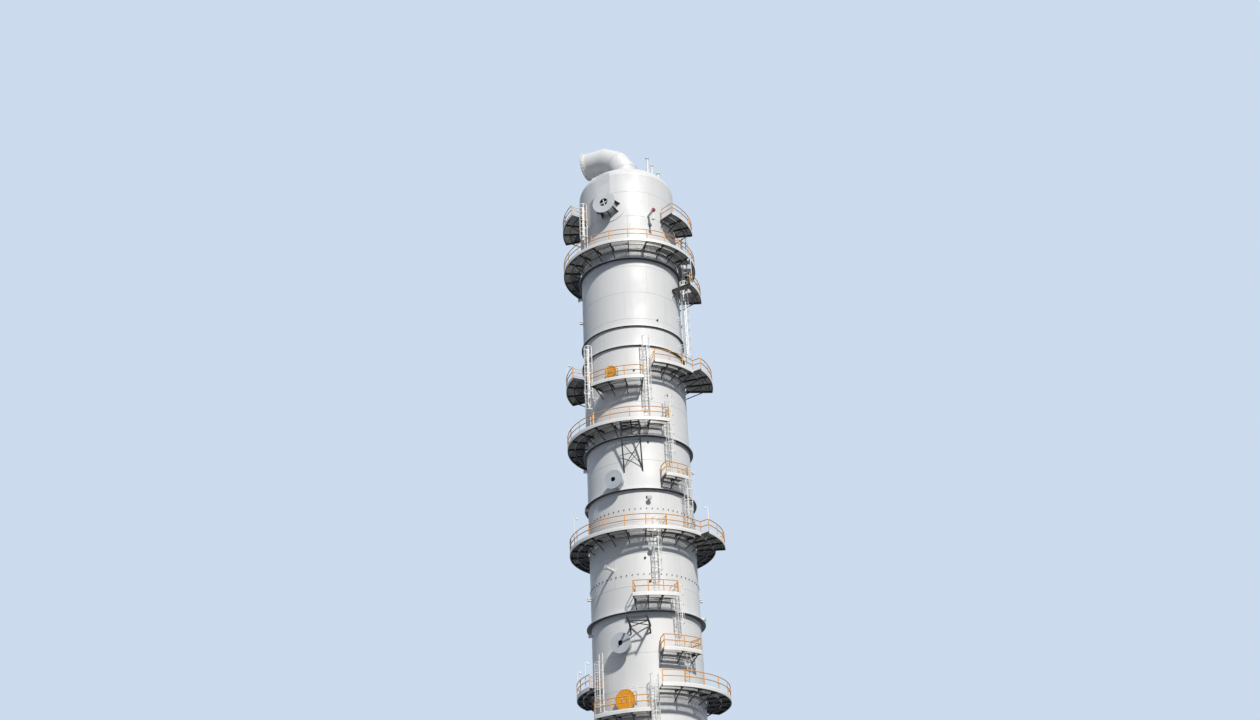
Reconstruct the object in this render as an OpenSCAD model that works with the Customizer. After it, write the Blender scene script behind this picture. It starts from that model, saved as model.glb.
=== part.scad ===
// Distillation column on a skirt, as a 1:10 scale model in millimetres.
// The origin is on the ground at the column's axis and +Z is up.
// Angles are seen from above: 0 looks along -Y, positive turns toward +X.

/* [Shell] */
// Outer radius of the shell
shell_r = 475; // [440:1:520]
// Wall of the shell
shell_t = 6; // [4:0.5:12]
// Height of the top tangent line above the ground
tangent_z = 8350; // [8200:1:9200]
// Depth of each elliptical head
head_depth = 237; // [180:1:300]
// Number of conical bands that make a head round
head_bands = 18; // [8:1:30]

/* [Skirt and base] */
// Height of the skirt, up to the bottom tangent line
skirt_h = 900; // [600:1:1100]
// Wall of the skirt
skirt_t = 8; // [5:0.5:14]
// Width of each access opening
access_w = 70; // [50:1:110]
// Height of each access opening
access_h = 180; // [120:1:220]
// Sill of the access openings above the ground
access_sill = 110; // [90:1:200]
// Wall of the frame round an access opening
access_t = 5; // [3:0.5:10]
// How far the frame stands out from the skirt
access_lip = 14; // [6:1:30]
// Thickness of the base ring and of the ring above it
base_t = 10; // [6:1:18]
// How far the base ring reaches outside the skirt
base_out = 44; // [36:1:60]
// How far the base ring reaches inside the skirt
base_in = 30; // [15:1:50]
// Height of the anchor chairs above the base ring
chair_h = 46; // [30:1:70]
// Number of anchor bolts
anchor_n = 24; // [12:12:48]
// Radius of an anchor bolt hole
anchor_r = 4.5; // [3:0.5:6]
// Distance of the bolt circle from the skirt
anchor_out = 22; // [16:1:30]
// Thickness of a chair gusset
gusset_t = 5; // [3:0.5:8]
// Gap between the two gussets of a chair
gusset_gap = 24; // [16:1:34]

/* [Stiffening rings] */
// Thickness of a stiffening ring
ring_t = 7; // [4:0.5:14]
// Width of the narrow bands
ring_narrow = 20; // [4:1:28]
// Width of the middle rings
ring_middle = 32; // [20:1:45]
// Width of the wide ring
ring_wide = 42; // [30:1:60]

/* [Vapour outlet] */
// Outer radius of the outlet pipe
outlet_r = 130; // [90:1:160]
// Wall of the outlet pipe
outlet_t = 5; // [3:0.5:10]
// Height of the outlet's level leg above the top of the head
outlet_rise = 348; // [190:1:400]
// Reach of the level leg from the column's axis
outlet_reach = 440; // [330:1:520]
// Radius of the outlet's bend along its axis
outlet_bend = 300; // [150:1:320]
// Direction of the outlet
outlet_a = -112; // [-180:1:180]
// Radius of the outlet's flange
flange_r = 150; // [140:1:200]
// Thickness of the outlet's flange
flange_t = 12; // [6:1:20]
// Radius of the vents on the head
vent_r = 11; // [6:1:18]
// Height of the tallest vent above the head's tangent line
vent_h = 365; // [280:1:420]

/* [Lifting trunnions] */
// Direction of the front trunnion
trunnion_a = -22; // [-180:1:180]
// Depth of the trunnions below the top tangent line
trunnion_drop = 371; // [250:1:500]
// Outer radius of a trunnion pipe
trunnion_r = 84; // [50:1:110]
// Wall of a trunnion pipe
trunnion_t = 8; // [4:0.5:14]
// Reach of a trunnion from the shell
trunnion_reach = 118; // [80:1:160]
// Radius of the end plate
trunnion_plate_r = 116; // [100:1:140]
// Thickness of the end plate
trunnion_plate_t = 8; // [5:0.5:14]
// Radius of the hole in the end plate
trunnion_hole_r = 43; // [25:1:60]
// Width of the keeper tab on the end plate
keeper_w = 136; // [80:1:180]
// Top of the keeper tab above the trunnion's axis
keeper_h = 330; // [200:1:360]
// Radius of the reinforcing pad
pad_r = 165; // [140:1:200]
// Thickness of the reinforcing pad
pad_t = 5; // [3:0.5:10]

/* [Nozzles and manways] */
// Radius of the upper manway's neck
manway_up_r = 43; // [35:1:70]
// Radius of the lower manway's neck
manway_low_r = 73; // [40:1:80]
// Reach of a manway from the shell
manway_reach = 42; // [30:1:80]
// How far a manway's flange stands out from its neck
manway_lip = 15; // [8:1:24]
// Thickness of a manway's flange and of its cover
manway_t = 9; // [5:0.5:14]
// Height of a manway's centre above its floor
manway_up = 119; // [88:1:135]
// Height of the top manway's centre above its floor
manway_high = 146; // [120:1:170]
// Radius of a large side nozzle
nozzle_r = 62; // [40:1:80]
// Reach of a large side nozzle
nozzle_reach = 96; // [60:1:130]
// Radius of the disc that ends a large side nozzle
nozzle_disc_r = 88; // [84:1:100]
// Thickness of that disc
nozzle_disc_t = 10; // [5:0.5:16]
// Radius of the hole in that disc
nozzle_hole_r = 22; // [12:1:34]
// Radius of a small nozzle
stub_r = 12; // [8:1:16]
// Radius of a small nozzle's flange
stub_flange_r = 22; // [18:1:30]
// Thickness of a small nozzle's flange
stub_flange_t = 5; // [3:0.5:10]
// Reach of a short small nozzle
stub_short = 40; // [25:1:80]
// Reach of a long small nozzle
stub_long = 120; // [90:1:180]
// Wall of every nozzle and manway
neck_t = 4; // [2.5:0.5:8]

/* [Pipe supports] */
// Distance between the two arms of a support
support_w = 164; // [120:1:200]
// Reach of the upper support's arms from the shell
support_up_reach = 165; // [130:1:170]
// Reach of the lower support's arms from the shell
support_low_reach = 270; // [200:1:290]
// Width and depth of an arm
support_bar = 14; // [9:1:18]
// Height of the upper support from its arms to the foot of its braces
support_up_h = 415; // [300:1:440]
// Height of the lower support from its arms to the foot of its gussets
support_low_h = 60; // [40:1:90]

/* [Platforms] */
// Radial width of a standard platform
deck_w = 176; // [150:1:200]
// Radial width of the narrow platforms
deck_narrow = 142; // [130:1:165]
// Radial width of the broad platforms
deck_broad = 214; // [200:1:240]
// Radial width of the bays that stand out
deck_bay = 262; // [245:1:280]
// Gap between the shell and a grating
deck_gap = 9; // [5:1:16]
// Thickness of the gratings
grating_t = 4; // [2.5:0.5:8]
// Depth of the platform beams
beam_h = 20; // [14:1:30]
// Width of the platform beams
beam_w = 9; // [6:0.5:14]
// Largest angle between two brackets
bracket_step = 17; // [12:1:24]
// Height of a bracket's knee brace
knee_h = 72; // [50:1:90]
// Gap between a knee brace's foot and the ring under it
ring_gap = 15; // [12:1:30]
// Width of a knee brace
knee_w = 7; // [4:0.5:10]

/* [Handrails] */
// Height of the top rail above the grating
rail_h = 112; // [90:1:130]
// Height and width of a rail
rail_w = 4.6; // [3:0.2:7]
// Width of a post
post_w = 5.4; // [4:0.2:8]
// Largest angle between two posts
post_step = 17; // [12:0.5:20]
// Height of the toe plate
toe_h = 13; // [8:1:20]
// Thickness of the toe plate
toe_t = 1.6; // [1:0.2:3]

/* [Ladders] */
// Width of a ladder between its stiles
ladder_w = 42; // [36:1:50]
// Distance of a ladder from the shell
ladder_out = 52; // [36:1:62]
// Thickness of a stile
stile_t = 2.4; // [1.6:0.2:4]
// Depth of a stile
stile_d = 7; // [5:0.5:9]
// Distance between two rungs
rung_step = 30; // [24:1:36]
// Radius of a rung
rung_r = 1.5; // [1:0.1:2]
// Inner radius of a cage
cage_r = 36; // [32:1:42]
// Thickness of the cage's hoops and straps
cage_t = 1.6; // [1.2:0.2:3]
// Height of a hoop and width of a strap
cage_w = 6; // [4:0.5:9]
// Largest distance between two hoops
hoop_step = 110; // [80:1:150]
// Height at which a cage starts above its floor
cage_start = 230; // [200:1:260]
// Height of a ladder above the floor that it serves
ladder_over = 110; // [90:1:130]
// Height of the two tall ladders above the floors that they serve
ladder_over_tall = 285; // [200:1:300]

/* [Floor heights] */
// First floor above the ground
z_first = 1250; // [1100:1:1400]
// Second floor above the ground
z_second = 1850; // [1700:1:2000]
// Third floor above the ground
z_third = 2430; // [2300:1:2600]
// Depth of the front floor of level four below the top tangent line
drop_four_front = 5371; // [5200:1:5450]
// Depth of the left floor of level four
drop_four_left = 5110; // [5050:1:5180]
// Depth of the right floor of level four
drop_four_right = 5182; // [5100:1:5190]
// Depth of the box platform of level five
drop_five = 4865; // [4750:1:4950]
// Depth of the front platform of level six
drop_six = 4410; // [4300:1:4500]
// Depth of the ring platform of level seven
drop_seven = 3818; // [3700:1:3900]
// Depth of the box platform of level eight
drop_eight = 3300; // [3200:1:3400]
// Depth of the front platform of level nine
drop_nine = 2790; // [2700:1:2900]
// Depth of the front floor of level ten
drop_ten_front = 2370; // [2320:1:2420]
// Depth of the right floor of level ten
drop_ten_right = 2199; // [2150:1:2250]
// Depth of the left floor of level ten
drop_ten_left = 2180; // [2130:1:2230]
// Depth of the landing of level eleven
drop_eleven = 1250; // [1200:1:1350]
// Depth of the top ring platform
drop_top = 897; // [850:1:950]
// Depth of the right floor beside the head
drop_head_right = 500; // [450:1:550]
// Depth of the left floor beside the head
drop_head_left = 390; // [360:1:440]

/* [Hidden] */
$fn = 96;
// A hairline between pieces that meet at a curved face
fit = 0.2;
course_n = 4;
course_h = (tangent_z - skirt_h) / course_n;
// Angle that a grating stays short of its floor's ends
panel_gap = 0.1;
// Angle by which the inner beam of a bay runs into that of its floor
bay_lap = 1;
// Gap between the outer beam and the toe plate over it
toe_lift = 0.5;
// Clips that hold a ladder to the shell
clip_t = 2;
clip_h = 5;
clip_first = 60;
clip_step = 300;
// Width of a hatch, and the angle that it keeps free of beams on each side
hatch_w = 2 * cage_r + 8 * cage_t;
hatch_a = asin((hatch_w + beam_w) / 2 / (shell_r + ladder_out));
// Gap between the shell and the rail across a floor's end
end_gap = 12;
far = 3 * shell_r;
// Height of the outlet's level axis and of its foot on the head, above the tangent line
axis_z = outlet_rise + head_depth;
seat_z = head_depth * sqrt(1 - pow(outlet_r / shell_r, 2)) + 2 * fit;
// The bend's radius, kept between what the pipe needs and what the plumb leg leaves
bend = max(1.1 * outlet_r, min(outlet_bend, axis_z - seat_z - 2 * flange_t, outlet_reach - 2 * flange_t));
top_z = tangent_z + head_depth;
white = "#e9ebe8";
silver = "#c3c8cc";
steel = "#9aa0a3";
yellow = "#d9a21b";
orange = "#d3622a";

// Floor heights, measured at the underside of the beams
z_four_front = tangent_z - drop_four_front;
z_four_left = tangent_z - drop_four_left;
z_four_right = tangent_z - drop_four_right;
z_five = tangent_z - drop_five;
z_six = tangent_z - drop_six;
z_seven = tangent_z - drop_seven;
z_eight = tangent_z - drop_eight;
z_nine = tangent_z - drop_nine;
z_ten_front = tangent_z - drop_ten_front;
z_ten_right = tangent_z - drop_ten_right;
z_ten_left = tangent_z - drop_ten_left;
z_eleven = tangent_z - drop_eleven;
z_top = tangent_z - drop_top;
z_head_right = tangent_z - drop_head_right;
z_head_left = tangent_z - drop_head_left;

// A floor is [height, first angle, last angle, width, rail at first end, rail at last end],
// where a rail of 0 is none, 1 crosses the whole floor and 2 only the part that stands out,
// and -1 is an end that goes on into such a part
floors_lower = [
    [z_first, -60, 30, deck_w, 1, 1],
    [z_second, -5, 85, deck_w, 1, 1],
    [z_third, -20, 80, deck_w, 1, 1]
];
floors_four = [
    [z_four_front, -44, 0, deck_w, 0, 0],
    [z_four_left, -118, -53, deck_narrow, 1, 0],
    [z_four_right, 9, 120, deck_broad, 0, 1]
];
floors_five_six = [
    [z_five, 13, 47, deck_narrow, 1, 1],
    [z_six, -9, 26, deck_w, 1, 0]
];
floors_seven = [
    [z_seven, 88 - 360, 52, deck_w, -1, -1],
    [z_seven, 52, 88, deck_bay, 2, 2]
];
floors_eight_nine = [
    [z_eight, 23, 45, deck_narrow, 1, 0],
    [z_nine, -150, 27, deck_w, 1, 0]
];
floors_ten = [
    [z_ten_front, -38, 7, deck_w, 0, 0],
    [z_ten_right, 17, 57, deck_w, 0, -1],
    [z_ten_right, 57, 95, deck_bay, 2, 1],
    [z_ten_left, -112, -62, deck_w, 1, 0]
];
floors_eleven_top = [
    [z_eleven, 57, 90, deck_broad, 0, 1],
    [z_top, 0, 360, deck_w, 0, 0]
];
floors_head = [
    [z_head_right, 43, 84, deck_w, 1, 0],
    [z_head_left, -104, -57, deck_w, 1, 0]
];

// A ladder is [angle, lower floor, upper floor, caged, height above the upper floor]
ladder_rows_lower = [
    [-40, -beam_h - grating_t, z_first, 1, ladder_over],
    [15, z_first, z_second, 1, ladder_over],
    [55, z_second, z_third, 1, ladder_over],
    [4.5, z_third, z_four_right, 1, ladder_over]
];
ladder_rows_middle = [
    [-48, z_four_front, z_four_left, 0, ladder_over_tall],
    [40, z_four_right, z_five, 0, ladder_over],
    [31, z_five, z_six, 1, ladder_over],
    [13, z_six, z_seven, 1, ladder_over],
    [50, z_seven, z_eight, 1, ladder_over],
    [32, z_eight, z_nine, 1, ladder_over_tall]
];
ladder_rows_upper = [
    [-50, z_nine, z_ten_left, 1, ladder_over_tall],
    [12, z_nine, z_ten_right, 1, ladder_over_tall],
    [68.5, z_ten_right, z_eleven, 1, ladder_over],
    [80, z_eleven, z_top, 1, ladder_over],
    [-51, z_top, z_head_left, 1, ladder_over],
    [90, z_top, z_head_right, 1, ladder_over]
];
ladder_rows = concat(ladder_rows_lower, ladder_rows_middle, ladder_rows_upper);

// Rings and bands round the shell: [height, width]
ring_rows = [
    [skirt_h, ring_narrow],
    [z_first - 260, ring_middle],
    [z_second - 250, ring_middle],
    [z_third - 190, ring_middle],
    [z_six - knee_h - ring_gap, ring_wide],
    [z_eight - knee_h - ring_gap, ring_middle],
    [z_nine - knee_h - ring_gap, ring_middle],
    [z_ten_right + 252, ring_narrow],
    [z_ten_right + 461, ring_narrow],
    [z_top - knee_h - 2 * ring_gap, ring_middle]
];

module out(a) {
    rotate([0, 0, a - 90])
        children();
}

module sector(a0, a1) {
    rotate([0, 0, a0 - 90])
        rotate_extrude(angle = a1 - a0)
            children();
}

// Upper quarter of an ellipse, from the tangent line to the axis
function dome(r, h) = [for (i = [0:head_bands]) [r * cos(90 * i / head_bands), h * sin(90 * i / head_bands)]];

module dome_solid(r, h) {
    rotate_extrude()
        polygon(concat([[0, 0]], dome(r, h)));
}

module tube(r, t, h) {
    difference() {
        cylinder(r = r, h = h);
        translate([0, 0, -1])
            cylinder(r = r - t, h = h + 2);
    }
}

module shell_course(i) {
    color(silver)
        translate([0, 0, skirt_h + i * course_h])
            tube(shell_r, shell_t, course_h);
}

module skirt() {
    color(silver)
        difference() {
            translate([0, 0, base_t])
                tube(shell_r, skirt_t, skirt_h - base_t);
            for (a = [0, 180])
                out(a)
                    translate([shell_r / 2, -access_w / 2, access_sill])
                        cube([shell_r, access_w, access_h]);
        }
    color(silver)
        for (a = [0, 180])
            out(a)
                difference() {
                    translate([shell_r - skirt_t, -access_w / 2 - access_t, access_sill - access_t])
                        cube([skirt_t + access_lip, access_w + 2 * access_t, access_h + 2 * access_t]);
                    translate([shell_r / 2, -access_w / 2, access_sill])
                        cube([shell_r, access_w, access_h]);
                }
}

module base_ring() {
    color(steel)
        difference() {
            cylinder(r = shell_r + base_out, h = base_t);
            translate([0, 0, -1])
                cylinder(r = shell_r - skirt_t - base_in, h = base_t + 2);
            for (i = [0:anchor_n - 1])
                out(360 * i / anchor_n + 180 / anchor_n)
                    translate([shell_r + anchor_out, 0, -1])
                        cylinder(r = anchor_r, h = base_t + 2, $fn = 32);
        }
}

module anchor_chairs() {
    chair_w = gusset_gap + 2 * gusset_t;
    color(steel)
        for (i = [0:anchor_n - 1])
            out(360 * i / anchor_n + 180 / anchor_n)
                difference() {
                    union() {
                        for (s = [0, 1])
                            translate([shell_r - 1, s * (gusset_gap + gusset_t) - chair_w / 2, base_t])
                                cube([base_out - 3, gusset_t, chair_h]);
                        translate([shell_r - 1, -chair_w / 2, base_t + chair_h - gusset_t])
                            cube([base_out - 3, chair_w, gusset_t]);
                    }
                    translate([shell_r + anchor_out, 0, 0])
                        cylinder(r = anchor_r, h = base_t + chair_h + 1, $fn = 32);
                    cylinder(r = shell_r + fit, h = base_t + chair_h + 1);
                }
}

module bottom_head() {
    r_in = shell_r - skirt_t - fit;
    color(silver)
        translate([0, 0, skirt_h])
            mirror([0, 0, 1])
                difference() {
                    dome_solid(r_in, head_depth);
                    translate([0, 0, -fit])
                        dome_solid(r_in - shell_t, head_depth - shell_t);
                }
}

module top_head() {
    color(silver)
        translate([0, 0, tangent_z])
            difference() {
                dome_solid(shell_r, head_depth);
                translate([0, 0, -fit])
                    dome_solid(shell_r - shell_t, head_depth - shell_t);
                cylinder(r = outlet_r - outlet_t, h = head_depth + 1);
            }
}

module stiffening_rings() {
    color(silver)
        for (row = ring_rows)
            translate([0, 0, row[0]])
                difference() {
                    cylinder(r = shell_r + row[1], h = ring_t);
                    translate([0, 0, -1])
                        cylinder(r = shell_r + fit, h = ring_t + 2);
                }
}

// A plumb leg, a bend and a level leg, of one radius
module bent_pipe(r, foot, reach) {
    translate([0, 0, foot])
        cylinder(r = r, h = axis_z - bend - foot);
    translate([bend, 0, axis_z - bend])
        rotate([90, 0, 0])
            rotate([0, 0, 90])
                rotate_extrude(angle = 90)
                    translate([bend, 0])
                        circle(r = r);
    translate([bend, 0, axis_z])
        rotate([0, 90, 0])
            cylinder(r = r, h = reach - bend);
}

module vapour_outlet() {
    color(silver)
        translate([0, 0, tangent_z])
            out(outlet_a)
                difference() {
                    union() {
                        bent_pipe(outlet_r, seat_z, outlet_reach);
                        translate([outlet_reach - flange_t, 0, axis_z])
                            rotate([0, 90, 0])
                                cylinder(r = flange_r, h = flange_t);
                    }
                    bent_pipe(outlet_r - outlet_t, seat_z - 1, outlet_reach + 1);
                }
}

// Vents on the head: [angle, distance from the axis, height above the tangent line]
vent_rows = [
    [45, 330, vent_h],
    [54.5, 340, 0.81 * vent_h],
    [66, 370, 0.63 * vent_h],
    [150, 250, 0.9 * vent_h]
];

module vent_pipes() {
    color(silver)
        for (v = vent_rows)
            out(v[0])
                translate([v[1], 0, tangent_z])
                    difference() {
                        cylinder(r = vent_r, h = v[2], $fn = 32);
                        translate([-v[1], 0, -fit])
                            dome_solid(shell_r + fit, head_depth + fit);
                    }
}

module lifting_pads() {
    color(silver)
        for (a = [trunnion_a, trunnion_a + 180])
            out(a)
                translate([0, 0, tangent_z - trunnion_drop])
                    difference() {
                        intersection() {
                            rotate([0, 90, 0])
                                cylinder(r = pad_r, h = shell_r + 2 * pad_t);
                            translate([0, 0, -far])
                                cylinder(r = shell_r + pad_t, h = 2 * far);
                        }
                        translate([0, 0, -far])
                            cylinder(r = shell_r + fit, h = 2 * far);
                        rotate([0, 90, 0])
                            cylinder(r = trunnion_r + fit, h = far);
                    }
}

module lifting_trunnions() {
    plate_x = shell_r + trunnion_reach - trunnion_plate_t;
    color(silver)
        for (a = [trunnion_a, trunnion_a + 180])
            out(a)
                translate([0, 0, tangent_z - trunnion_drop])
                    difference() {
                        union() {
                            rotate([0, 90, 0])
                                cylinder(r = trunnion_r, h = plate_x + 1);
                            translate([plate_x, 0, 0])
                                rotate([0, 90, 0])
                                    cylinder(r = trunnion_plate_r, h = trunnion_plate_t);
                            translate([plate_x, -keeper_w / 2, 0])
                                cube([trunnion_plate_t, keeper_w, keeper_h]);
                        }
                        rotate([0, 90, 0])
                            cylinder(r = trunnion_r - trunnion_t, h = plate_x);
                        rotate([0, 90, 0])
                            cylinder(r = trunnion_hole_r, h = far);
                        translate([0, 0, -far])
                            cylinder(r = shell_r + fit, h = 2 * far);
                    }
}

// A neck that stands out from the shell, with a flange or a disc on its end
module nozzle(a, z, r, reach, end_r, end_t, hole_r) {
    out(a)
        translate([0, 0, z])
            difference() {
                union() {
                    rotate([0, 90, 0])
                        cylinder(r = r, h = shell_r + reach);
                    translate([shell_r + reach - end_t, 0, 0])
                        rotate([0, 90, 0])
                            cylinder(r = end_r, h = end_t);
                }
                rotate([0, 90, 0])
                    cylinder(r = r - neck_t, h = shell_r + reach - end_t);
                rotate([0, 90, 0])
                    cylinder(r = hole_r, h = far);
                translate([0, 0, -far])
                    cylinder(r = shell_r + fit, h = 2 * far);
            }
}

module side_nozzles() {
    color(silver)
        for (row = [[-24, z_eight + 2], [-23, z_six - 358], [158, z_eight + 2]])
            nozzle(row[0], row[1], nozzle_r, nozzle_reach, nozzle_disc_r, nozzle_disc_t, nozzle_hole_r);
}

// Manways: [angle, height of the centre, radius of the neck]
manway_rows = [
    [-24.5, z_ten_front + beam_h + manway_high, manway_up_r],
    [-22.5, z_four_front + beam_h + manway_up, manway_low_r],
    [-100, z_nine + beam_h + manway_up, manway_up_r],
    [120, z_seven + beam_h + manway_up, manway_up_r],
    [-20, z_first + beam_h + manway_up, manway_low_r]
];

module manways() {
    color(silver)
        for (m = manway_rows)
            nozzle(m[0], m[1], m[2], manway_reach, m[2] + manway_lip, manway_t, m[2] - neck_t);
}

module manway_covers() {
    color(orange)
        for (m = manway_rows)
            out(m[0])
                translate([shell_r + manway_reach, 0, m[1]])
                    rotate([0, 90, 0])
                        cylinder(r = m[2] + manway_lip, h = manway_t);
}

// Small nozzles: [angle, height, reach]
stub_rows = [
    [26, tangent_z - 478, stub_long],
    [84, z_top + 75, stub_short],
    [-33, z_six + 311, stub_long],
    [9, z_eight - 180, stub_short],
    [8, z_seven - 132, stub_short],
    [84, z_six - 40, stub_short],
    [-95, z_top - 220, stub_short],
    [140, z_nine + 300, stub_long],
    [-140, z_six + 311, stub_long],
    [100, z_second - 200, stub_short]
];

module small_nozzles() {
    color(silver)
        for (s = stub_rows)
            nozzle(s[0], s[1], stub_r, s[2], stub_flange_r, stub_flange_t, stub_r - neck_t);
}

// Two level arms that a cross bar and a plan brace tie, with a brace under each arm
module pipe_support(a, z, reach, foot_h, foot_reach) {
    end_x = shell_r + reach;
    tie = 0.7 * support_bar;
    color(silver)
        out(a)
            difference() {
                translate([0, 0, z])
                    union() {
                        for (s = [-1, 1])
                            translate([0, s * support_w / 2, 0]) {
                                translate([0, -support_bar / 2, -support_bar])
                                    cube([end_x, support_bar, support_bar]);
                                strut(shell_r + foot_reach, -support_bar / 2,
                                      shell_r - support_bar, -foot_h - support_bar, 0.8 * support_bar);
                            }
                        for (x = [end_x - 2 * support_bar, shell_r + reach / 2])
                            translate([x, -support_w / 2, -0.85 * support_bar])
                                cube([tie, support_w, tie]);
                        translate([shell_r + reach / 4, 0, -0.8 * support_bar])
                            for (s = [-1, 1])
                                rotate([0, 0, s * atan2(support_w, reach / 2)])
                                    translate([-norm([support_w, reach / 2]) / 2, -tie / 2, 0])
                                        cube([norm([support_w, reach / 2]), tie, tie / 2]);
                    }
                translate([0, 0, z - 2 * foot_h])
                    cylinder(r = shell_r + fit, h = 3 * foot_h);
            }
}

// A square bar in the X-Z plane from one point to another
module strut(x0, z0, x1, z1, w) {
    len = norm([x1 - x0, z1 - z0]);
    translate([x0, -w / 2, z0])
        rotate([0, -atan2(z1 - z0, x1 - x0), 0])
            translate([0, 0, -w / 2])
                cube([len, w, w]);
}

module pipe_support_lower() {
    pipe_support(-6, z_six - 198, support_low_reach, support_low_h, support_low_reach / 3);
}

module pipe_support_upper() {
    pipe_support(-6, z_nine - fit, support_up_reach, support_up_h, support_up_reach - support_bar);
}

// The way through a floor for each ladder that ends at it
module hatches(z) {
    for (l = ladder_rows)
        if (l[2] == z)
            out(l[0])
                translate([shell_r + ladder_out - stile_d, -hatch_w / 2, z - beam_h])
                    cube([stile_d + (l[3] == 1 ? hatch_w : 0.7 * hatch_w), hatch_w, 3 * beam_h]);
}

// True where no hatch of the floor at height z is in the way of a radial beam
function clear_of_hatches(z, a) =
    len([for (l = ladder_rows) if (l[2] == z && cos(l[0] - a) > cos(hatch_a)) 1]) == 0;

// Steel under one floor: an outer and an inner beam, radial beams and knee braces
module floor_frame(f) {
    z = f[0];
    span = f[2] - f[1];
    closed = span >= 360;
    n = ceil(span / bracket_step);
    r_out = shell_r + f[3];
    r_in = shell_r + deck_gap;
    slim = f[4] == 2 ? fit : 0;
    difference() {
        union() {
            sector(f[1] - (f[4] == 2 ? bay_lap : 0), f[2] + (f[5] == 2 ? bay_lap : 0))
                translate([r_in + slim, z + slim])
                    square([beam_w - 2 * slim, beam_h - 2 * slim]);
            for (r = [r_in + 0.55 * (f[3] - deck_gap), r_out - beam_w])
                sector(f[1], f[2])
                    translate([r, z])
                        square([beam_w, beam_h]);
            for (a = [for (i = [f[4] < 0 ? 1 : 0:(closed || f[5] < 0 ? n - 1 : n)]) f[1] + span * i / n])
                if (clear_of_hatches(z, a))
                    out(a) {
                        translate([shell_r - 1, -beam_w / 2, z + 1])
                            cube([f[3] - 1, beam_w, beam_h - 2]);
                        strut(shell_r + 0.7 * f[3], z + beam_h / 2, shell_r - knee_w, z - knee_h, knee_w);
                    }
        }
        hatches(z);
        translate([0, 0, z - 2 * knee_h])
            cylinder(r = shell_r + fit, h = 3 * knee_h);
    }
}

module grating(f) {
    difference() {
        sector(f[1] + panel_gap, f[2] - panel_gap)
            translate([shell_r + deck_gap, f[0] + beam_h])
                square([f[3] - deck_gap - post_w - toe_t - 1, grating_t]);
        hatches(f[0]);
    }
}

// Posts, two rails and a toe plate round a floor, and rails across its open ends
module railing(f) {
    z = f[0] + beam_h;
    span = f[2] - f[1];
    closed = span >= 360;
    n = ceil(span / post_step);
    r = shell_r + f[3] - toe_t - post_w;
    half = post_w / 2 / r * 180 / PI;
    rail_z = [z + grating_t + rail_h - rail_w, z + grating_t + 0.5 * rail_h];
    for (h = rail_z)
        sector(f[1], f[2])
            translate([r + (post_w - rail_w) / 2, h])
                square(rail_w);
    sector(f[1], f[2])
        translate([r + post_w - 0.3, z + toe_lift])
            square([toe_t + 0.3, toe_h - toe_lift]);
    for (i = [f[4] < 0 ? 1 : 0:(closed || f[5] < 0 ? n - 1 : n)])
        out(f[1] + (closed ? 0 : half) + (span - (closed ? 0 : 2 * half)) * i / n)
            translate([r, -post_w / 2, z])
                cube([post_w, post_w, grating_t + rail_h - 0.6]);
    for (e = [[f[1], 1, f[4]], [f[2], -1, f[5]]])
        if (e[2] > 0) {
            start = e[2] == 1 ? deck_gap + end_gap : deck_w - toe_t - post_w;
            side = e[2] == 1 ? e[1] * post_w / 2 : 0;
            out(e[0]) {
                for (h = rail_z)
                    translate([shell_r + start + 1, side - 0.45 * rail_w, h + 0.05 * rail_w])
                        cube([f[3] - start - toe_t - 2, 0.9 * rail_w, 0.9 * rail_w]);
                translate([shell_r + start, side - post_w / 2, z + grating_t])
                    cube([post_w, post_w, rail_h - 0.6]);
            }
        }
}

module ladder(l) {
    foot = l[1] + beam_h + grating_t;
    head = l[2] + beam_h + grating_t + l[4];
    x = shell_r + ladder_out;
    rungs = floor((head - foot - 10) / rung_step);
    cage_h = head - foot - cage_start - 3;
    hoops = max(2, ceil(cage_h / hoop_step));
    hoop_r = cage_r + cage_t / 2;
    stile_y = (ladder_w + stile_t) / 2;
    reach = 180 - asin(stile_y / hoop_r);
    out(l[0]) {
        for (s = [-1, 1])
            translate([x - stile_d / 2, s * stile_y - stile_t / 2, foot])
                cube([stile_d, stile_t, head - foot]);
        for (i = [1:rungs])
            translate([x, ladder_w / 2 + 1, foot + i * rung_step - 10])
                rotate([90, 0, 0])
                    cylinder(r = rung_r, h = ladder_w + 2, $fn = 6);
        for (k = [0:ceil((l[2] - foot) / clip_step) - 1])
            for (s = [-1, 1])
                translate([0, 0, foot + clip_first + k * clip_step])
                    difference() {
                        translate([0, s * stile_y - clip_t / 2, 0])
                            cube([shell_r + ladder_out, clip_t, clip_h]);
                        translate([0, 0, -1])
                            cylinder(r = shell_r + fit, h = clip_h + 2);
                    }
        if (l[3] == 1)
            translate([x + sqrt(hoop_r * hoop_r - stile_y * stile_y), 0, 0]) {
                for (k = [0:hoops])
                    translate([0, 0, foot + cage_start + k * (cage_h - cage_w) / hoops])
                        rotate([0, 0, -reach])
                            rotate_extrude(angle = 2 * reach, $fn = 48)
                                translate([cage_r, 0])
                                    square([cage_t, cage_w]);
                for (b = [-120, -60, 0, 60, 120])
                    rotate([0, 0, b])
                        translate([cage_r + cage_t / 4, -cage_w / 2, foot + cage_start + 1])
                            cube([cage_t, cage_w, cage_h - 2]);
            }
    }
}

module frames(floors) {
    color(steel)
        for (f = floors)
            floor_frame(f);
}

module gratings(floors) {
    color("#b4b8ba")
        for (f = floors)
            grating(f);
}

module railings(floors) {
    color(yellow)
        for (f = floors)
            railing(f);
}

module ladders(rows) {
    color(white)
        for (l = rows)
            ladder(l);
}

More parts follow.
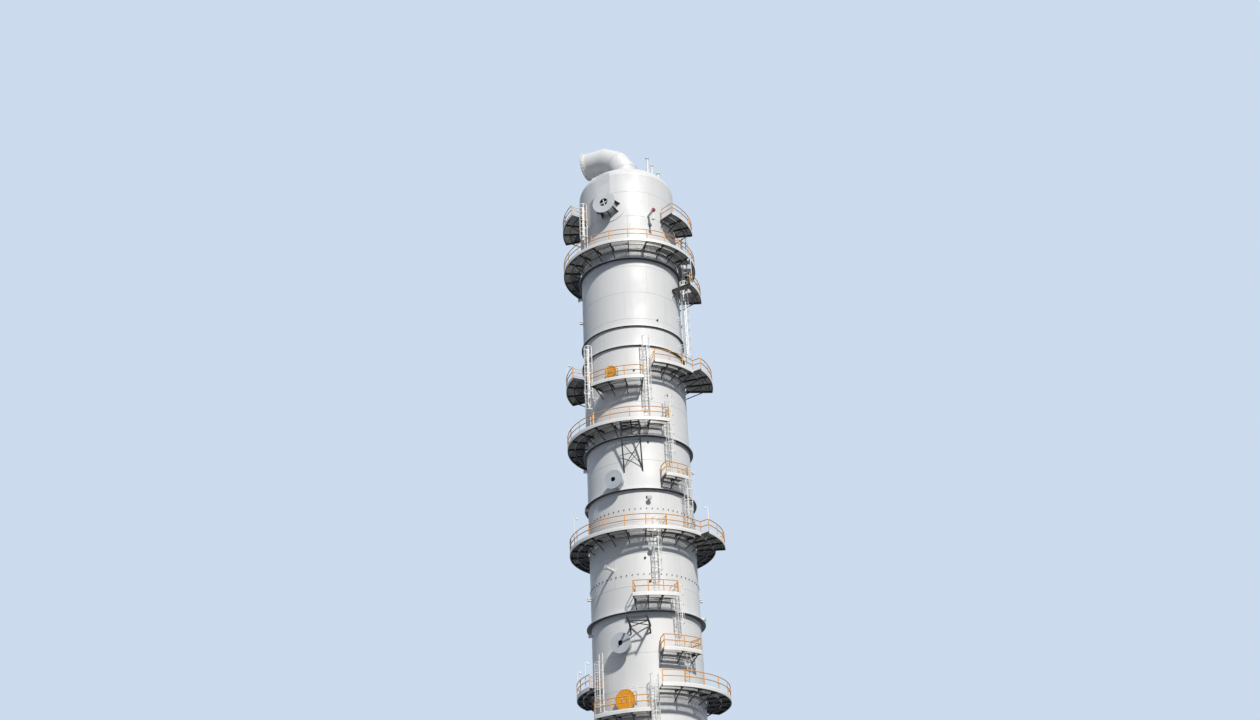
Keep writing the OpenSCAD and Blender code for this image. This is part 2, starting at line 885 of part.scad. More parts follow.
base_ring();
anchor_chairs();
skirt();
bottom_head();
shell_course(0);  // shell_course_1
shell_course(1);  // shell_course_2
shell_course(2);  // shell_course_3
shell_course(3);  // shell_course_4
top_head();
stiffening_rings();
vapour_outlet();
vent_pipes();
lifting_pads();
lifting_trunnions();
side_nozzles();
manways();
manway_covers();
small_nozzles();
pipe_support_lower();
pipe_support_upper();
frames(floors_lower);  // platforms_lower
frames(floors_four);  // platforms_four
frames(floors_five_six);  // platforms_five_six
frames(floors_seven);  // platform_seven
frames(floors_eight_nine);  // platforms_eight_nine
frames(floors_ten);  // platforms_ten
frames(floors_eleven_top);  // platforms_eleven_top
frames(floors_head);  // platforms_head
gratings(floors_lower);  // gratings_lower
gratings(floors_four);  // gratings_four
gratings(floors_five_six);  // gratings_five_six
gratings(floors_seven);  // grating_seven
gratings(floors_eight_nine);  // gratings_eight_nine
gratings(floors_ten);  // gratings_ten
gratings(floors_eleven_top);  // gratings_eleven_top
gratings(floors_head);  // gratings_head
railings(floors_lower);  // railings_lower
railings(floors_four);  // railings_four
railings(floors_five_six);  // railings_five_six
railings(floors_seven);  // railing_seven
railings(floors_eight_nine);  // railings_eight_nine
railings(floors_ten);  // railings_ten
railings(floors_eleven_top);  // railings_eleven_top
railings(floors_head);  // railings_head
ladders(ladder_rows_lower);  // ladders_lower
ladders(ladder_rows_middle);  // ladders_middle
ladders(ladder_rows_upper);  // ladders_upper
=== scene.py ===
"""A refinery distillation column as a 1:10 model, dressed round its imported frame.

Lengths are in millimetres until a piece's mesh is made, and angles in degrees from the
front, which faces -Y, positive towards +X.
"""

import math

import bpy
import numpy as np
from mathutils import Matrix


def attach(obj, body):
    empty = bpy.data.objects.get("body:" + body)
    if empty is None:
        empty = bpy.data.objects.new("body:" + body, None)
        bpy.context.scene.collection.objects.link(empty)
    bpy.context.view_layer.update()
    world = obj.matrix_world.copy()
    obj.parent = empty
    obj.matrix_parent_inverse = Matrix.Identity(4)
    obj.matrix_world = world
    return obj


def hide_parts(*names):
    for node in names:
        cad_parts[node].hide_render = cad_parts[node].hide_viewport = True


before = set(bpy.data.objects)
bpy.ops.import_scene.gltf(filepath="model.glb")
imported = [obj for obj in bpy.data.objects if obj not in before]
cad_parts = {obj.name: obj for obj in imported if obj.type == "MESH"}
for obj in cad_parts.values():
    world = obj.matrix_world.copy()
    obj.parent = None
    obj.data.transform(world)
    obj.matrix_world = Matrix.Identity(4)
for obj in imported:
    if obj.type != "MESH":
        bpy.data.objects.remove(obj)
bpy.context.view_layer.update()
scene = bpy.context.scene
scene.view_settings.view_transform = "Standard"

# The view
# The camera is low in front of the column and looks up along it, rolled a little.
CAMERA_AT = (-0.0346, -11.6707, 0.1615)
CAMERA_PITCH = 28.56
CAMERA_ROLL = -2.65
CAMERA_LENS = 39.6
camera = bpy.data.objects.new("view_from_ground", bpy.data.cameras.new("view_from_ground"))
camera.data.sensor_width = 36.0
camera.data.lens = CAMERA_LENS
camera.data.clip_end = 400.0
camera.matrix_world = (
    Matrix.Translation(CAMERA_AT)
    @ Matrix.Rotation(math.radians(90 + CAMERA_PITCH), 4, "X")
    @ Matrix.Rotation(math.radians(CAMERA_ROLL), 4, "Z")
)
scene.collection.objects.link(camera)
scene.camera = camera


def add(tree, kind, feeds=None, **settings):
    """One shader node: its settings, then each input fed by a socket or set to a value."""
    made = tree.nodes.new(kind)
    for name, value in settings.items():
        setattr(made, name, value)
    for name, value in (feeds or {}).items():
        if isinstance(value, bpy.types.NodeSocket):
            tree.links.new(value, made.inputs[name])
        else:
            made.inputs[name].default_value = value
    return made


def maths(tree, operation, a, b=0.0):
    """The result of one Math node."""
    return add(tree, "ShaderNodeMath", {0: a, 1: b}, operation=operation).outputs[0]


# Floor, backdrop and lamps
# A pale floor and a pale, cool backdrop, one warm key lamp high on the right and a soft
# cool fill from all round.
BACKDROP = (0.60, 0.71, 0.85, 1.0)
FILL, FILL_STRENGTH = (0.66, 0.78, 1.0, 1.0), 0.30
KEY_AZIMUTH, KEY_HEIGHT = 20.0, 38.5
KEY_ENERGY, KEY_COLOUR = 3.55, (1.0, 0.955, 0.885)

world = bpy.data.worlds.new("studio")
scene.world = world
world.use_nodes = True
sky = world.node_tree
sky.nodes.clear()
rays = add(sky, "ShaderNodeLightPath")
seen = maths(sky, "MAXIMUM", rays.outputs["Is Camera Ray"],
             maths(sky, "MAXIMUM", rays.outputs["Is Glossy Ray"], rays.outputs["Is Transmission Ray"]))
fill_light = add(sky, "ShaderNodeBackground", {"Color": FILL, "Strength": FILL_STRENGTH})
backdrop = add(sky, "ShaderNodeBackground", {"Color": BACKDROP, "Strength": 1.0})
either = add(sky, "ShaderNodeMixShader", {0: seen, 1: fill_light.outputs[0], 2: backdrop.outputs[0]})
add(sky, "ShaderNodeOutputWorld", {"Surface": either.outputs[0]})

key = bpy.data.objects.new("key_lamp", bpy.data.lights.new("key_lamp", "SUN"))
key.data.energy = KEY_ENERGY
key.data.angle = math.radians(3.0)
key.data.color = KEY_COLOUR
key.matrix_world = (
    Matrix.Rotation(math.radians(KEY_AZIMUTH), 4, "Z")
    @ Matrix.Rotation(math.radians(90 - KEY_HEIGHT), 4, "X")
)
scene.collection.objects.link(key)

FLOOR_REACH = 90.0
floor_mesh = bpy.data.meshes.new("studio_floor")
floor_mesh.from_pydata(
    [(x * FLOOR_REACH, y * FLOOR_REACH, 0.0) for x, y in ((-1, -1), (1, -1), (1, 1), (-1, 1))],
    [], [(0, 1, 2, 3)]
)
studio_floor = bpy.data.objects.new("studio_floor", floor_mesh)
scene.collection.objects.link(studio_floor)
floor_paint = bpy.data.materials.new("studio_floor")
floor_paint.use_nodes = True
tree = floor_paint.node_tree
tree.nodes.clear()
rays = add(tree, "ShaderNodeLightPath")
place = add(tree, "ShaderNodeTexCoord").outputs["Object"]
speckle = add(tree, "ShaderNodeTexNoise", {"Vector": place, "Scale": 1.7})
pale = add(tree, "ShaderNodeMix", {0: speckle.outputs[0], 6: (0.60, 0.63, 0.66, 1), 7: (0.66, 0.69, 0.72, 1)},
           data_type="RGBA")
shown = add(tree, "ShaderNodeBsdfDiffuse", {"Color": pale.outputs[2]})
bounce = add(tree, "ShaderNodeBsdfDiffuse", {"Color": (0.16, 0.165, 0.17, 1)})
both = add(tree, "ShaderNodeMixShader",
           {0: rays.outputs["Is Diffuse Ray"], 1: shown.outputs[0], 2: bounce.outputs[0]})
add(tree, "ShaderNodeOutputMaterial", {"Surface": both.outputs[0]})
floor_mesh.materials.append(floor_paint)

# Shell, heads and skirt
# Four rolled and welded steel courses with an elliptical head at each end, on a plain
# skirt. The courses are plates about 2.9 m high, butt welded, in one coat of silver paint
# that has weathered in vertical streaks.
SHELL_R = 475.0
SKIRT_TOP = 900.0
TANGENT_Z = 8350.0
HEAD_DEPTH = 237.0
PLATE_H = 290.0
PLATES_ROUND = 5


def group(name, inputs, outputs):
    """An empty shader group with float inputs {name: value} and the named float outputs."""
    made = bpy.data.node_groups.new(name, "ShaderNodeTree")
    for label, value in inputs.items():
        made.interface.new_socket(label, in_out="INPUT", socket_type="NodeSocketFloat").default_value = value
    for label in outputs:
        made.interface.new_socket(label, in_out="OUTPUT", socket_type="NodeSocketFloat")
    return made, add(made, "NodeGroupInput"), add(made, "NodeGroupOutput")


def between(tree, value, low, high):
    """0 below low, 1 above high, smooth between."""
    return add(tree, "ShaderNodeMapRange", {"Value": value, "From Min": low, "From Max": high},
               interpolation_type="SMOOTHSTEP").outputs[0]


# Weathering: streaks that run down, broad patches and fine grain, from the place on the column
weather, given, put = group("weathering", {"Patch Scale": 3.0, "Grain Scale": 260.0},
                            ["Streaks", "Patches", "Grain"])
place = add(weather, "ShaderNodeTexCoord").outputs["Object"]
drawn = add(weather, "ShaderNodeVectorMath", {0: place, 1: (1.0, 1.0, 0.05)}, operation="MULTIPLY").outputs[0]
streak = add(weather, "ShaderNodeTexNoise", {"Vector": drawn, "Scale": 14.0, "Detail": 6.0, "Roughness": 0.62})
patch = add(weather, "ShaderNodeTexNoise",
            {"Vector": place, "Scale": given.outputs[0], "Detail": 5.0, "Roughness": 0.6})
grain = add(weather, "ShaderNodeTexNoise", {"Vector": place, "Scale": given.outputs[1], "Detail": 2.0})
weather.links.new(between(weather, streak.outputs[0], 0.5, 0.74), put.inputs[0])
weather.links.new(between(weather, patch.outputs[0], 0.36, 0.68), put.inputs[1])
weather.links.new(grain.outputs[0], put.inputs[2])

# Facing: which faces look down, and which look up or away from the column's axis.
# The masks place painted shade on faces that look down and painted light on faces that look out or up.
facing, given, put = group("facing", {}, ["Under", "Outer"])
normal = add(facing, "ShaderNodeNewGeometry").outputs["Normal"]
place = add(facing, "ShaderNodeTexCoord").outputs["Object"]
level = add(facing, "ShaderNodeVectorMath", {0: place, 1: (1.0, 1.0, 0.0)}, operation="MULTIPLY").outputs[0]
radial = add(facing, "ShaderNodeVectorMath", {0: level}, operation="NORMALIZE").outputs[0]
away = add(facing, "ShaderNodeVectorMath", {0: normal, 1: radial}, operation="DOT_PRODUCT").outputs["Value"]
height = add(facing, "ShaderNodeSeparateXYZ", {0: normal}).outputs[2]
facing.links.new(between(facing, maths(facing, "MULTIPLY", height, -1.0), 0.25, 0.7), put.inputs[0])
facing.links.new(between(facing, maths(facing, "MAXIMUM", away, height), 0.55, 0.85), put.inputs[1])

# Plate seams: lines at the edges of rolled plates, staggered by course
seam_sizes = {"Height": PLATE_H / 1000, "Foot": SKIRT_TOP / 1000, "Round": PLATES_ROUND}
seams, given, put = group("plate_seams", seam_sizes, ["Line", "Plate"])
place = add(seams, "ShaderNodeTexCoord").outputs["Object"]
xyz = add(seams, "ShaderNodeSeparateXYZ", {0: place})
row = maths(seams, "DIVIDE", maths(seams, "SUBTRACT", xyz.outputs[2], given.outputs[1]), given.outputs[0])
near_row = maths(seams, "MULTIPLY", maths(seams, "PINGPONG", row, 0.5), given.outputs[0])
turn = maths(seams, "DIVIDE", maths(seams, "ARCTAN2", xyz.outputs[0], xyz.outputs[1]), 2 * math.pi)
shift = maths(seams, "MULTIPLY", maths(seams, "FLOOR", row), 0.37)
column = maths(seams, "ADD", maths(seams, "MULTIPLY", turn, given.outputs[2]), shift)
plate_width = 2 * math.pi * SHELL_R / 1000 / PLATES_ROUND
near_column = maths(seams, "MULTIPLY", maths(seams, "PINGPONG", column, 0.5), plate_width)
nearest = maths(seams, "MINIMUM", near_row, near_column)
seams.links.new(between(seams, maths(seams, "MULTIPLY", nearest, -1.0), -0.0045, -0.0015), put.inputs[0])
row_key = maths(seams, "MULTIPLY", maths(seams, "FLOOR", row), 7.31)
plate_key = maths(seams, "ADD", row_key, maths(seams, "FLOOR", column))
tone = add(seams, "ShaderNodeTexWhiteNoise", {"W": plate_key}, noise_dimensions="1D").outputs["Value"]
seams.links.new(tone, put.inputs[1])


def blend(tree, mask, a, b):
    """Colour a where the mask is 0 and b where it is 1."""
    colours = {6: a if isinstance(a, bpy.types.NodeSocket) else (*a, 1.0),
               7: b if isinstance(b, bpy.types.NodeSocket) else (*b, 1.0)}
    return add(tree, "ShaderNodeMix", {0: mask, **colours}, data_type="RGBA").outputs[2]


def use(tree, made, **values):
    """A shader group placed in a material, with its own values."""
    placed = add(tree, "ShaderNodeGroup", node_tree=made)
    for label, value in values.items():
        placed.inputs[label.replace("_", " ")].default_value = value
    return placed


def finish_of(name, build, **constants):
    """A Principled material. build(tree) returns its sockets; constants go on the shader itself."""
    made = bpy.data.materials.new(name)
    made.use_nodes = True
    tree = made.node_tree
    tree.nodes.clear()
    shader = add(tree, "ShaderNodeBsdfPrincipled", {k.replace("_", " "): v for k, v in constants.items()})
    for label, socket in build(tree).items():
        tree.links.new(socket, shader.inputs[label])
    add(tree, "ShaderNodeOutputMaterial", {"Surface": shader.outputs[0]})
    return made


def ranged(tree, value, low, high):
    """A value from 0 to 1 carried to the range from low to high."""
    return add(tree, "ShaderNodeMapRange", {"Value": value, "To Min": low, "To Max": high}).outputs[0]


def bump(tree, height, distance):
    """The normal of a height in metres times distance."""
    return add(tree, "ShaderNodeBump", {"Height": height, "Distance": distance, "Strength": 1.0}).outputs[0]


def shell_coat(tree):
    """Pale silver paint: a tone to each plate, darker seams, streaks and patches of dirt."""
    worn = use(tree, weather, Patch_Scale=2.6)
    plates = use(tree, seams)
    by_plate = maths(tree, "MULTIPLY", plates.outputs[1], 0.5)
    base = blend(tree, by_plate, (0.74, 0.75, 0.755), (0.80, 0.805, 0.805))
    patched = blend(tree, maths(tree, "MULTIPLY", worn.outputs[1], 0.26), base, (0.62, 0.65, 0.69))
    streaked = blend(tree, maths(tree, "MULTIPLY", worn.outputs[0], 0.20), patched, (0.52, 0.53, 0.54))
    seamed = blend(tree, maths(tree, "MULTIPLY", plates.outputs[0], 0.18), streaked, (0.50, 0.51, 0.52))
    rough = ranged(tree, worn.outputs[1], 0.48, 0.64)
    relief = maths(tree, "ADD", maths(tree, "MULTIPLY", plates.outputs[0], 0.8),
                   maths(tree, "MULTIPLY", worn.outputs[2], 0.12))
    return {"Base Color": seamed, "Roughness": rough, "Normal": bump(tree, relief, 0.0012)}


shell_paint = finish_of("silver_shell_paint", shell_coat, Metallic=0.06)


def dress(names, material):
    """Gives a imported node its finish."""
    for name in names:
        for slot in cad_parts[name].material_slots:
            slot.material = material


dress([*(f"shell_course_{n}" for n in range(1, 5)), "top_head", "bottom_head", "skirt"], shell_paint)


def polar(r, angle, z):
    """Points at radius r, an angle from the front and height z: x = r sin a, y = -r cos a."""
    r, a, z = np.broadcast_arrays(np.asarray(r, float), np.radians(angle), np.asarray(z, float))
    return np.stack([r * np.sin(a), -r * np.cos(a), z], -1)


def loft(rings, closed=False):
    """Quads over rows of section points rings[k, station, corner]. Open ends get strips of quads."""
    rings = np.asarray(rings, float)
    index = np.arange(rings[..., 0].size).reshape(rings.shape[:3])
    here, there = (index, np.roll(index, -1, 1)) if closed else (index[:, :-1], index[:, 1:])
    quads = [np.stack([here, np.roll(here, -1, 2), np.roll(there, -1, 2), there], -1).reshape(-1, 4)]
    if not closed:
        i = np.arange(rings.shape[2] // 2 - 1)
        last = rings.shape[2] - 1
        strip = np.stack([i, i + 1, last - 1 - i, last - i], -1)
        quads += [index[:, 0][:, strip][..., ::-1].reshape(-1, 4), index[:, -1][:, strip].reshape(-1, 4)]
    points, quads = rings.reshape(-1, 3), np.concatenate(quads)
    p = points - points.mean(0)
    a, b, c, d = (p[quads[:, i]] for i in range(4))
    volume = np.einsum("ij,ij->i", a, np.cross(b, c)).sum() + np.einsum("ij,ij->i", a, np.cross(c, d)).sum()
    return points, quads if volume > 0 else quads[:, ::-1]


def tubes(paths, radius, sides=8, closed=False, guide=None):
    """Round bars along paths[k, station]: circles r (cos u * side + sin u * up) square to the path.

    side is square to the path and to the guide, which is up unless the path itself stands up.
    """
    paths = np.asarray(paths, float)
    paths = paths[None] if paths.ndim == 2 else paths
    along = np.roll(paths, -1, 1) - np.roll(paths, 1, 1) if closed else np.gradient(paths, axis=1)
    along /= np.linalg.norm(along, axis=-1, keepdims=True)
    upright = np.abs(along[..., 2:]).mean(1, keepdims=True) > 0.9
    side = np.cross(along, np.where(upright, [1.0, 0.0, 0.0], [0.0, 0.0, 1.0]) if guide is None else guide)
    side /= np.linalg.norm(side, axis=-1, keepdims=True)
    up = np.cross(side, along)
    u = (np.arange(sides) + 0.5) * 2 * np.pi / sides
    circle = np.cos(u)[:, None] * side[:, :, None] + np.sin(u)[:, None] * up[:, :, None]
    return loft(paths[:, :, None] + radius * circle, closed)


def hoop(inner, outer, low, high, first=0.0, last=360.0, step=3.0):
    """A flat bar rolled round the column: a rectangle carried from the first angle to the last."""
    closed = last - first >= 360
    angles = np.linspace(first, last, math.ceil((last - first) / step) + 1)
    angles = angles[:-1] if closed else angles
    section = polar([inner, outer, outer, inner], angles[:, None], [low, low, high, high])
    return loft(section[None], closed)


def plates(centre, x, y, z):
    """Flat plates and square bars: each has a centre and three half edges."""
    centre, x, y, z = np.broadcast_arrays(*(np.atleast_2d(np.asarray(v, float)) for v in (centre, x, y, z)))
    turn = np.array([(-1, -1), (1, -1), (1, 1), (-1, 1)], float)
    flat = centre[:, None] + turn[:, :1] * x[:, None] + turn[:, 1:] * y[:, None]
    return loft(np.stack([flat - z[:, None], flat + z[:, None]], 1))


def turned(centre, axis, profile, sides=48, hollow=False):
    """Turned parts: profile rows (distance along the axis, radius) spun about each axis."""
    centre, axis = (np.atleast_2d(np.asarray(v, float)) for v in (centre, axis))
    profile = np.asarray(profile, float)
    guide = np.where(np.abs(axis[:, 2:]) > 0.9, [1.0, 0.0, 0.0], [0.0, 0.0, 1.0])
    side = np.cross(axis, guide)
    side /= np.linalg.norm(side, axis=-1, keepdims=True)
    up = np.cross(side, axis)
    u = (np.arange(sides) + 0.5) * 2 * np.pi / sides
    spokes = np.cos(u)[:, None] * side[:, None] + np.sin(u)[:, None] * up[:, None]
    rings = (centre[:, None, None] + profile[:, 0, None, None] * axis[:, None, None]
             + profile[:, 1, None, None] * spokes[:, None])
    return loft(rings, hollow)


def frame_at(angle):
    """Unit vectors out from the axis, along the shell and up, at each angle."""
    out = polar(1.0, angle, 0.0)
    return out, polar(1.0, np.asarray(angle) + 90.0, 0.0), np.broadcast_to([0.0, 0.0, 1.0], out.shape)


def piece(name, parts, material, slot, *stands_for):
    """Joins parts (points in mm, quads) into one object that rides on the column."""
    starts = np.cumsum([0] + [len(points) for points, _ in parts[:-1]])
    points = np.concatenate([points for points, _ in parts]) / 1000
    quads = np.concatenate([quads + start for (_, quads), start in zip(parts, starts)])
    mesh = bpy.data.meshes.new(name)
    mesh.vertices.add(len(points))
    mesh.vertices.foreach_set("co", points.astype(np.float32).ravel())
    mesh.loops.add(quads.size)
    mesh.loops.foreach_set("vertex_index", quads.astype(np.int32).ravel())
    mesh.polygons.add(len(quads))
    mesh.polygons.foreach_set("loop_start", np.arange(0, quads.size, 4, dtype=np.int32))
    mesh.update(calc_edges=True)
    mesh.polygons.foreach_set("use_smooth", np.ones(len(quads), bool))
    mesh.set_sharp_from_angle(angle=math.radians(40))
    mesh.materials.append(material)
    made = bpy.data.objects.new(name, mesh)
    scene.collection.objects.link(made)
    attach(made, "root")
    if stands_for:
        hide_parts(*stands_for)
    return made


def paint(name, patch_scale, shade, other_shade, **settings):
    """One coat of paint that drifts between two shades in patches."""
    return finish_of(name, lambda tree: {
        "Base Color": blend(tree, use(tree, weather, Patch_Scale=patch_scale).outputs[1], shade, other_shade),
    }, **settings)


# Weld beads stand a little proud at the joints between the plates and at the head
bead_heights = np.arange(SKIRT_TOP + PLATE_H, TANGENT_Z - 40, PLATE_H)
beads = [hoop(SHELL_R - 1, SHELL_R + 0.5, z - 1.4, z + 1.4) for z in (*bead_heights, TANGENT_Z)]
bead_paint = paint("painted_weld", 30.0, (0.72, 0.73, 0.74), (0.62, 0.63, 0.65), Roughness=0.55, Metallic=0.05)
piece("weld_beads", beads, bead_paint, "shell_paint")

# Base ring and anchor bolts
# The skirt stands on a flat ring with twenty-four bolt chairs. Each chair holds a bolt that
# comes up out of the foundation, with a washer and two hexagonal nuts.
ANCHORS = 24
ANCHOR_R = SHELL_R + 22
CHAIR_TOP = 56.0


def galvanised(low, high):
    """Zinc-coated steel: a spangle of two greys with dull patches."""
    def coat(tree):
        worn = use(tree, weather, Patch_Scale=9.0)
        place = add(tree, "ShaderNodeTexCoord").outputs["Object"]
        spangle = add(tree, "ShaderNodeTexVoronoi", {"Vector": place, "Scale": 160.0}).outputs["Distance"]
        base = blend(tree, between(tree, spangle, 0.1, 0.7), low, high)
        dull = blend(tree, maths(tree, "MULTIPLY", worn.outputs[1], 0.5), base, tuple(0.7 * v for v in low))
        rough = ranged(tree, worn.outputs[1], 0.35, 0.6)
        return {"Base Color": dull, "Roughness": rough, "Normal": bump(tree, worn.outputs[2], 0.0006)}
    return coat


base_steel = finish_of("base_steel", galvanised((0.26, 0.27, 0.28), (0.36, 0.37, 0.38)), Metallic=0.35)
bolt_steel = finish_of("bolt_steel", galvanised((0.20, 0.20, 0.21), (0.32, 0.32, 0.33)), Metallic=0.6)
dress(["base_ring", "anchor_chairs"], base_steel)

anchor_angle = 360 / ANCHORS * (np.arange(ANCHORS) + 0.5)
anchor_foot = polar(ANCHOR_R, anchor_angle, 0.0)
UP = (0.0, 0.0, 1.0)
anchor_up = np.broadcast_to(UP, anchor_foot.shape)
piece("anchor_bolts", [
    turned(anchor_foot, anchor_up, [(1, 3.6), (CHAIR_TOP + 20, 3.6), (CHAIR_TOP + 22, 2.8)], 12),
    turned(anchor_foot, anchor_up, [(CHAIR_TOP + 0.2, 9), (CHAIR_TOP + 2, 9)], 16),
    turned(anchor_foot, anchor_up, [(CHAIR_TOP + 2, 7), (CHAIR_TOP + 8, 7), (CHAIR_TOP + 9, 6)], 6),
    turned(anchor_foot, anchor_up, [(CHAIR_TOP + 9.2, 7), (CHAIR_TOP + 14, 7), (CHAIR_TOP + 15, 6)], 6),
], bolt_steel, "frame_steel")

# Stiffening rings
# Flat rings welded round the shell carry it against wind and hold its insulation. They are
# painted with the shell on top and on the edge; below they get near-black painted shade.
def ring_coat(tree):
    """White above and on the edge, near-black painted shade below."""
    worn = use(tree, weather, Patch_Scale=6.0)
    sides = use(tree, facing)
    top = blend(tree, maths(tree, "MULTIPLY", worn.outputs[1], 0.35), (0.80, 0.80, 0.81), (0.60, 0.61, 0.62))
    # dark: the near-black painted shade on the faces that look down
    dark = blend(tree, worn.outputs[1], (0.028, 0.030, 0.034), (0.05, 0.052, 0.056))
    return {"Base Color": blend(tree, sides.outputs[0], top, dark),
            "Normal": bump(tree, worn.outputs[2], 0.0006)}


ring_paint = finish_of("ring_paint", ring_coat, Roughness=0.55, Metallic=0.1)
dress(["stiffening_rings"], ring_paint)

# Floors' steelwork
# Each floor is a part of a ring on radial beams and knee braces. Faces that look out or up are
# white as painted light, like the toe plates; everything that looks down or in gets near-black painted shade.
FLOORS = {
    # height of the beams' underside, first and last angle, width, and how the guard ends there:
    # -1 another part of the floor goes on, 0 open, 1 a rail in to the shell, 2 a rail in to a narrower floor
    "lower": [(1250, -60, 30, 176, 1, 1), (1850, -5, 85, 176, 1, 1), (2430, -20, 80, 176, 1, 1)],
    "four": [(2979, -44, 0, 176, 0, 0), (3240, -118, -53, 142, 1, 0), (3168, 9, 120, 214, 0, 1)],
    "five_six": [(3485, 13, 47, 142, 1, 1), (3940, -9, 26, 176, 1, 0)],
    "seven": [(4532, -272, 52, 176, -1, -1), (4532, 52, 88, 262, 2, 2)],
    "eight_nine": [(5050, 23, 45, 142, 1, 0), (5560, -150, 27, 176, 1, 0)],
    "ten": [(5980, -38, 7, 176, 0, 0), (6151, 17, 57, 176, 0, -1), (6151, 57, 95, 262, 2, 1),
            (6170, -112, -62, 176, 1, 0)],
    "eleven_top": [(7100, 57, 90, 214, 0, 1), (7453, 0, 360, 176, 0, 0)],
    "head": [(7850, 43, 84, 176, 1, 0), (7960, -104, -57, 176, 1, 0)],
}
# Ladders' hatches: angle, height of the floor that it goes through, length out from the shell
HATCHES = [
    (-40, 1250, 92), (15, 1850, 92), (55, 2430, 92), (4.5, 3168, 92), (-48, 3240, 66), (40, 3485, 66),
    (31, 3940, 92), (13, 4532, 92), (50, 5050, 92), (32, 5560, 92), (-50, 6170, 92), (12, 6151, 92),
    (68.5, 7100, 92), (80, 7453, 92), (-51, 7960, 92), (90, 7850, 92),
]
BEAM_H = 20.0
GRATING_H = 4.0
DECK_GAP = 9.0
NARROW_W = 176.0
KNEE_H = 72.0
BRACKET_STEP = 17.0
HATCH_START, HATCH_HALF = SHELL_R + 45, 42.4


def steelwork_coat(tree):
    """White as painted light on the faces that look out or up, near-black painted shade on the rest."""
    worn = use(tree, weather, Patch_Scale=8.0)
    sides = use(tree, facing)
    white = blend(tree, maths(tree, "MULTIPLY", worn.outputs[1], 0.4), (0.82, 0.82, 0.81), (0.58, 0.58, 0.58))
    # dark: the near-black painted shade on faces that look down or in
    dark = blend(tree, worn.outputs[1], (0.022, 0.024, 0.028), (0.045, 0.047, 0.052))
    return {"Base Color": blend(tree, sides.outputs[1], dark, white),
            "Normal": bump(tree, worn.outputs[2], 0.0006)}


frame_paint = finish_of("platform_steelwork", steelwork_coat, Roughness=0.5, Metallic=0.15)
dress([f"platform{'' if level == 'seven' else 's'}_{level}" for level in FLOORS], frame_paint)


def steps_of(floor, step):
    """Evenly spaced angles along a floor, without the end that another part of it holds."""
    _, first, last, _, start, end = floor
    count = math.ceil((last - first) / step)
    angles = np.linspace(first, last, count + 1)
    return angles[(1 if start < 0 else 0):(-1 if end < 0 or last - first >= 360 else None)]


# Bearing plates on the shell behind each beam and under each brace
pads = []
for floor in (f for level in FLOORS.values() for f in level):
    beam, knee = floor[0], floor[0] - KNEE_H
    for angle in steps_of(floor, BRACKET_STEP):
        pads += [hoop(SHELL_R - 1, SHELL_R + 2.5, knee - 14, knee + 12, angle - 1.3, angle + 1.3, 1.3),
                 hoop(SHELL_R - 1, SHELL_R + 2.5, beam - 4, beam + BEAM_H + 2, angle - 1.1, angle + 1.1, 1.1)]
piece("bracket_pads", pads, shell_paint, "shell_paint")

# Gratings
# Open bar gratings: upright flat bars that run out from the shell, four millimetres apart,
# with cross rods on top and a band round each panel, cut out at the ladders' hatches.
BAR_PITCH, BAR_T = 4.0, 0.6
ROD_PITCH, ROD_HALF = 10.0, 0.45
BAR_BITS = 10


def clear_of_hatches(points, height, spare=0.0):
    """True for each point that isn't in a hatch of the floor at that height."""
    clear = np.ones(points.shape[:-1], bool)
    for angle, floor_z, length in HATCHES:
        if floor_z == height:
            out, along, _ = frame_at(angle)
            far_out, aside = points @ out, np.abs(points @ along)
            clear &= ~((far_out > HATCH_START - spare) & (far_out < HATCH_START + length + spare)
                       & (aside < HATCH_HALF + spare))
    return clear


def bars_in(centres, out, along, half, lift, upright, height, thin):
    """Straight bars cut into equal bits, without the bits that lie in a hatch."""
    at = (np.arange(BAR_BITS) + 0.5) / BAR_BITS * 2 - 1
    spots = centres[:, None] + (half[:, None] * at)[..., None] * out[:, None]
    kept = clear_of_hatches(spots, height)
    whole = kept.all(1)
    made = [plates(centres[whole] + lift, out[whole] * half[whole, None], along[whole] * thin, upright)]
    some = kept & ~whole[:, None]
    if some.any():
        bar = np.nonzero(some)[0]
        bit = out[bar] * (half[bar] / BAR_BITS)[:, None]
        made.append(plates(spots[some] + lift, bit, along[bar] * thin, upright))
    return made


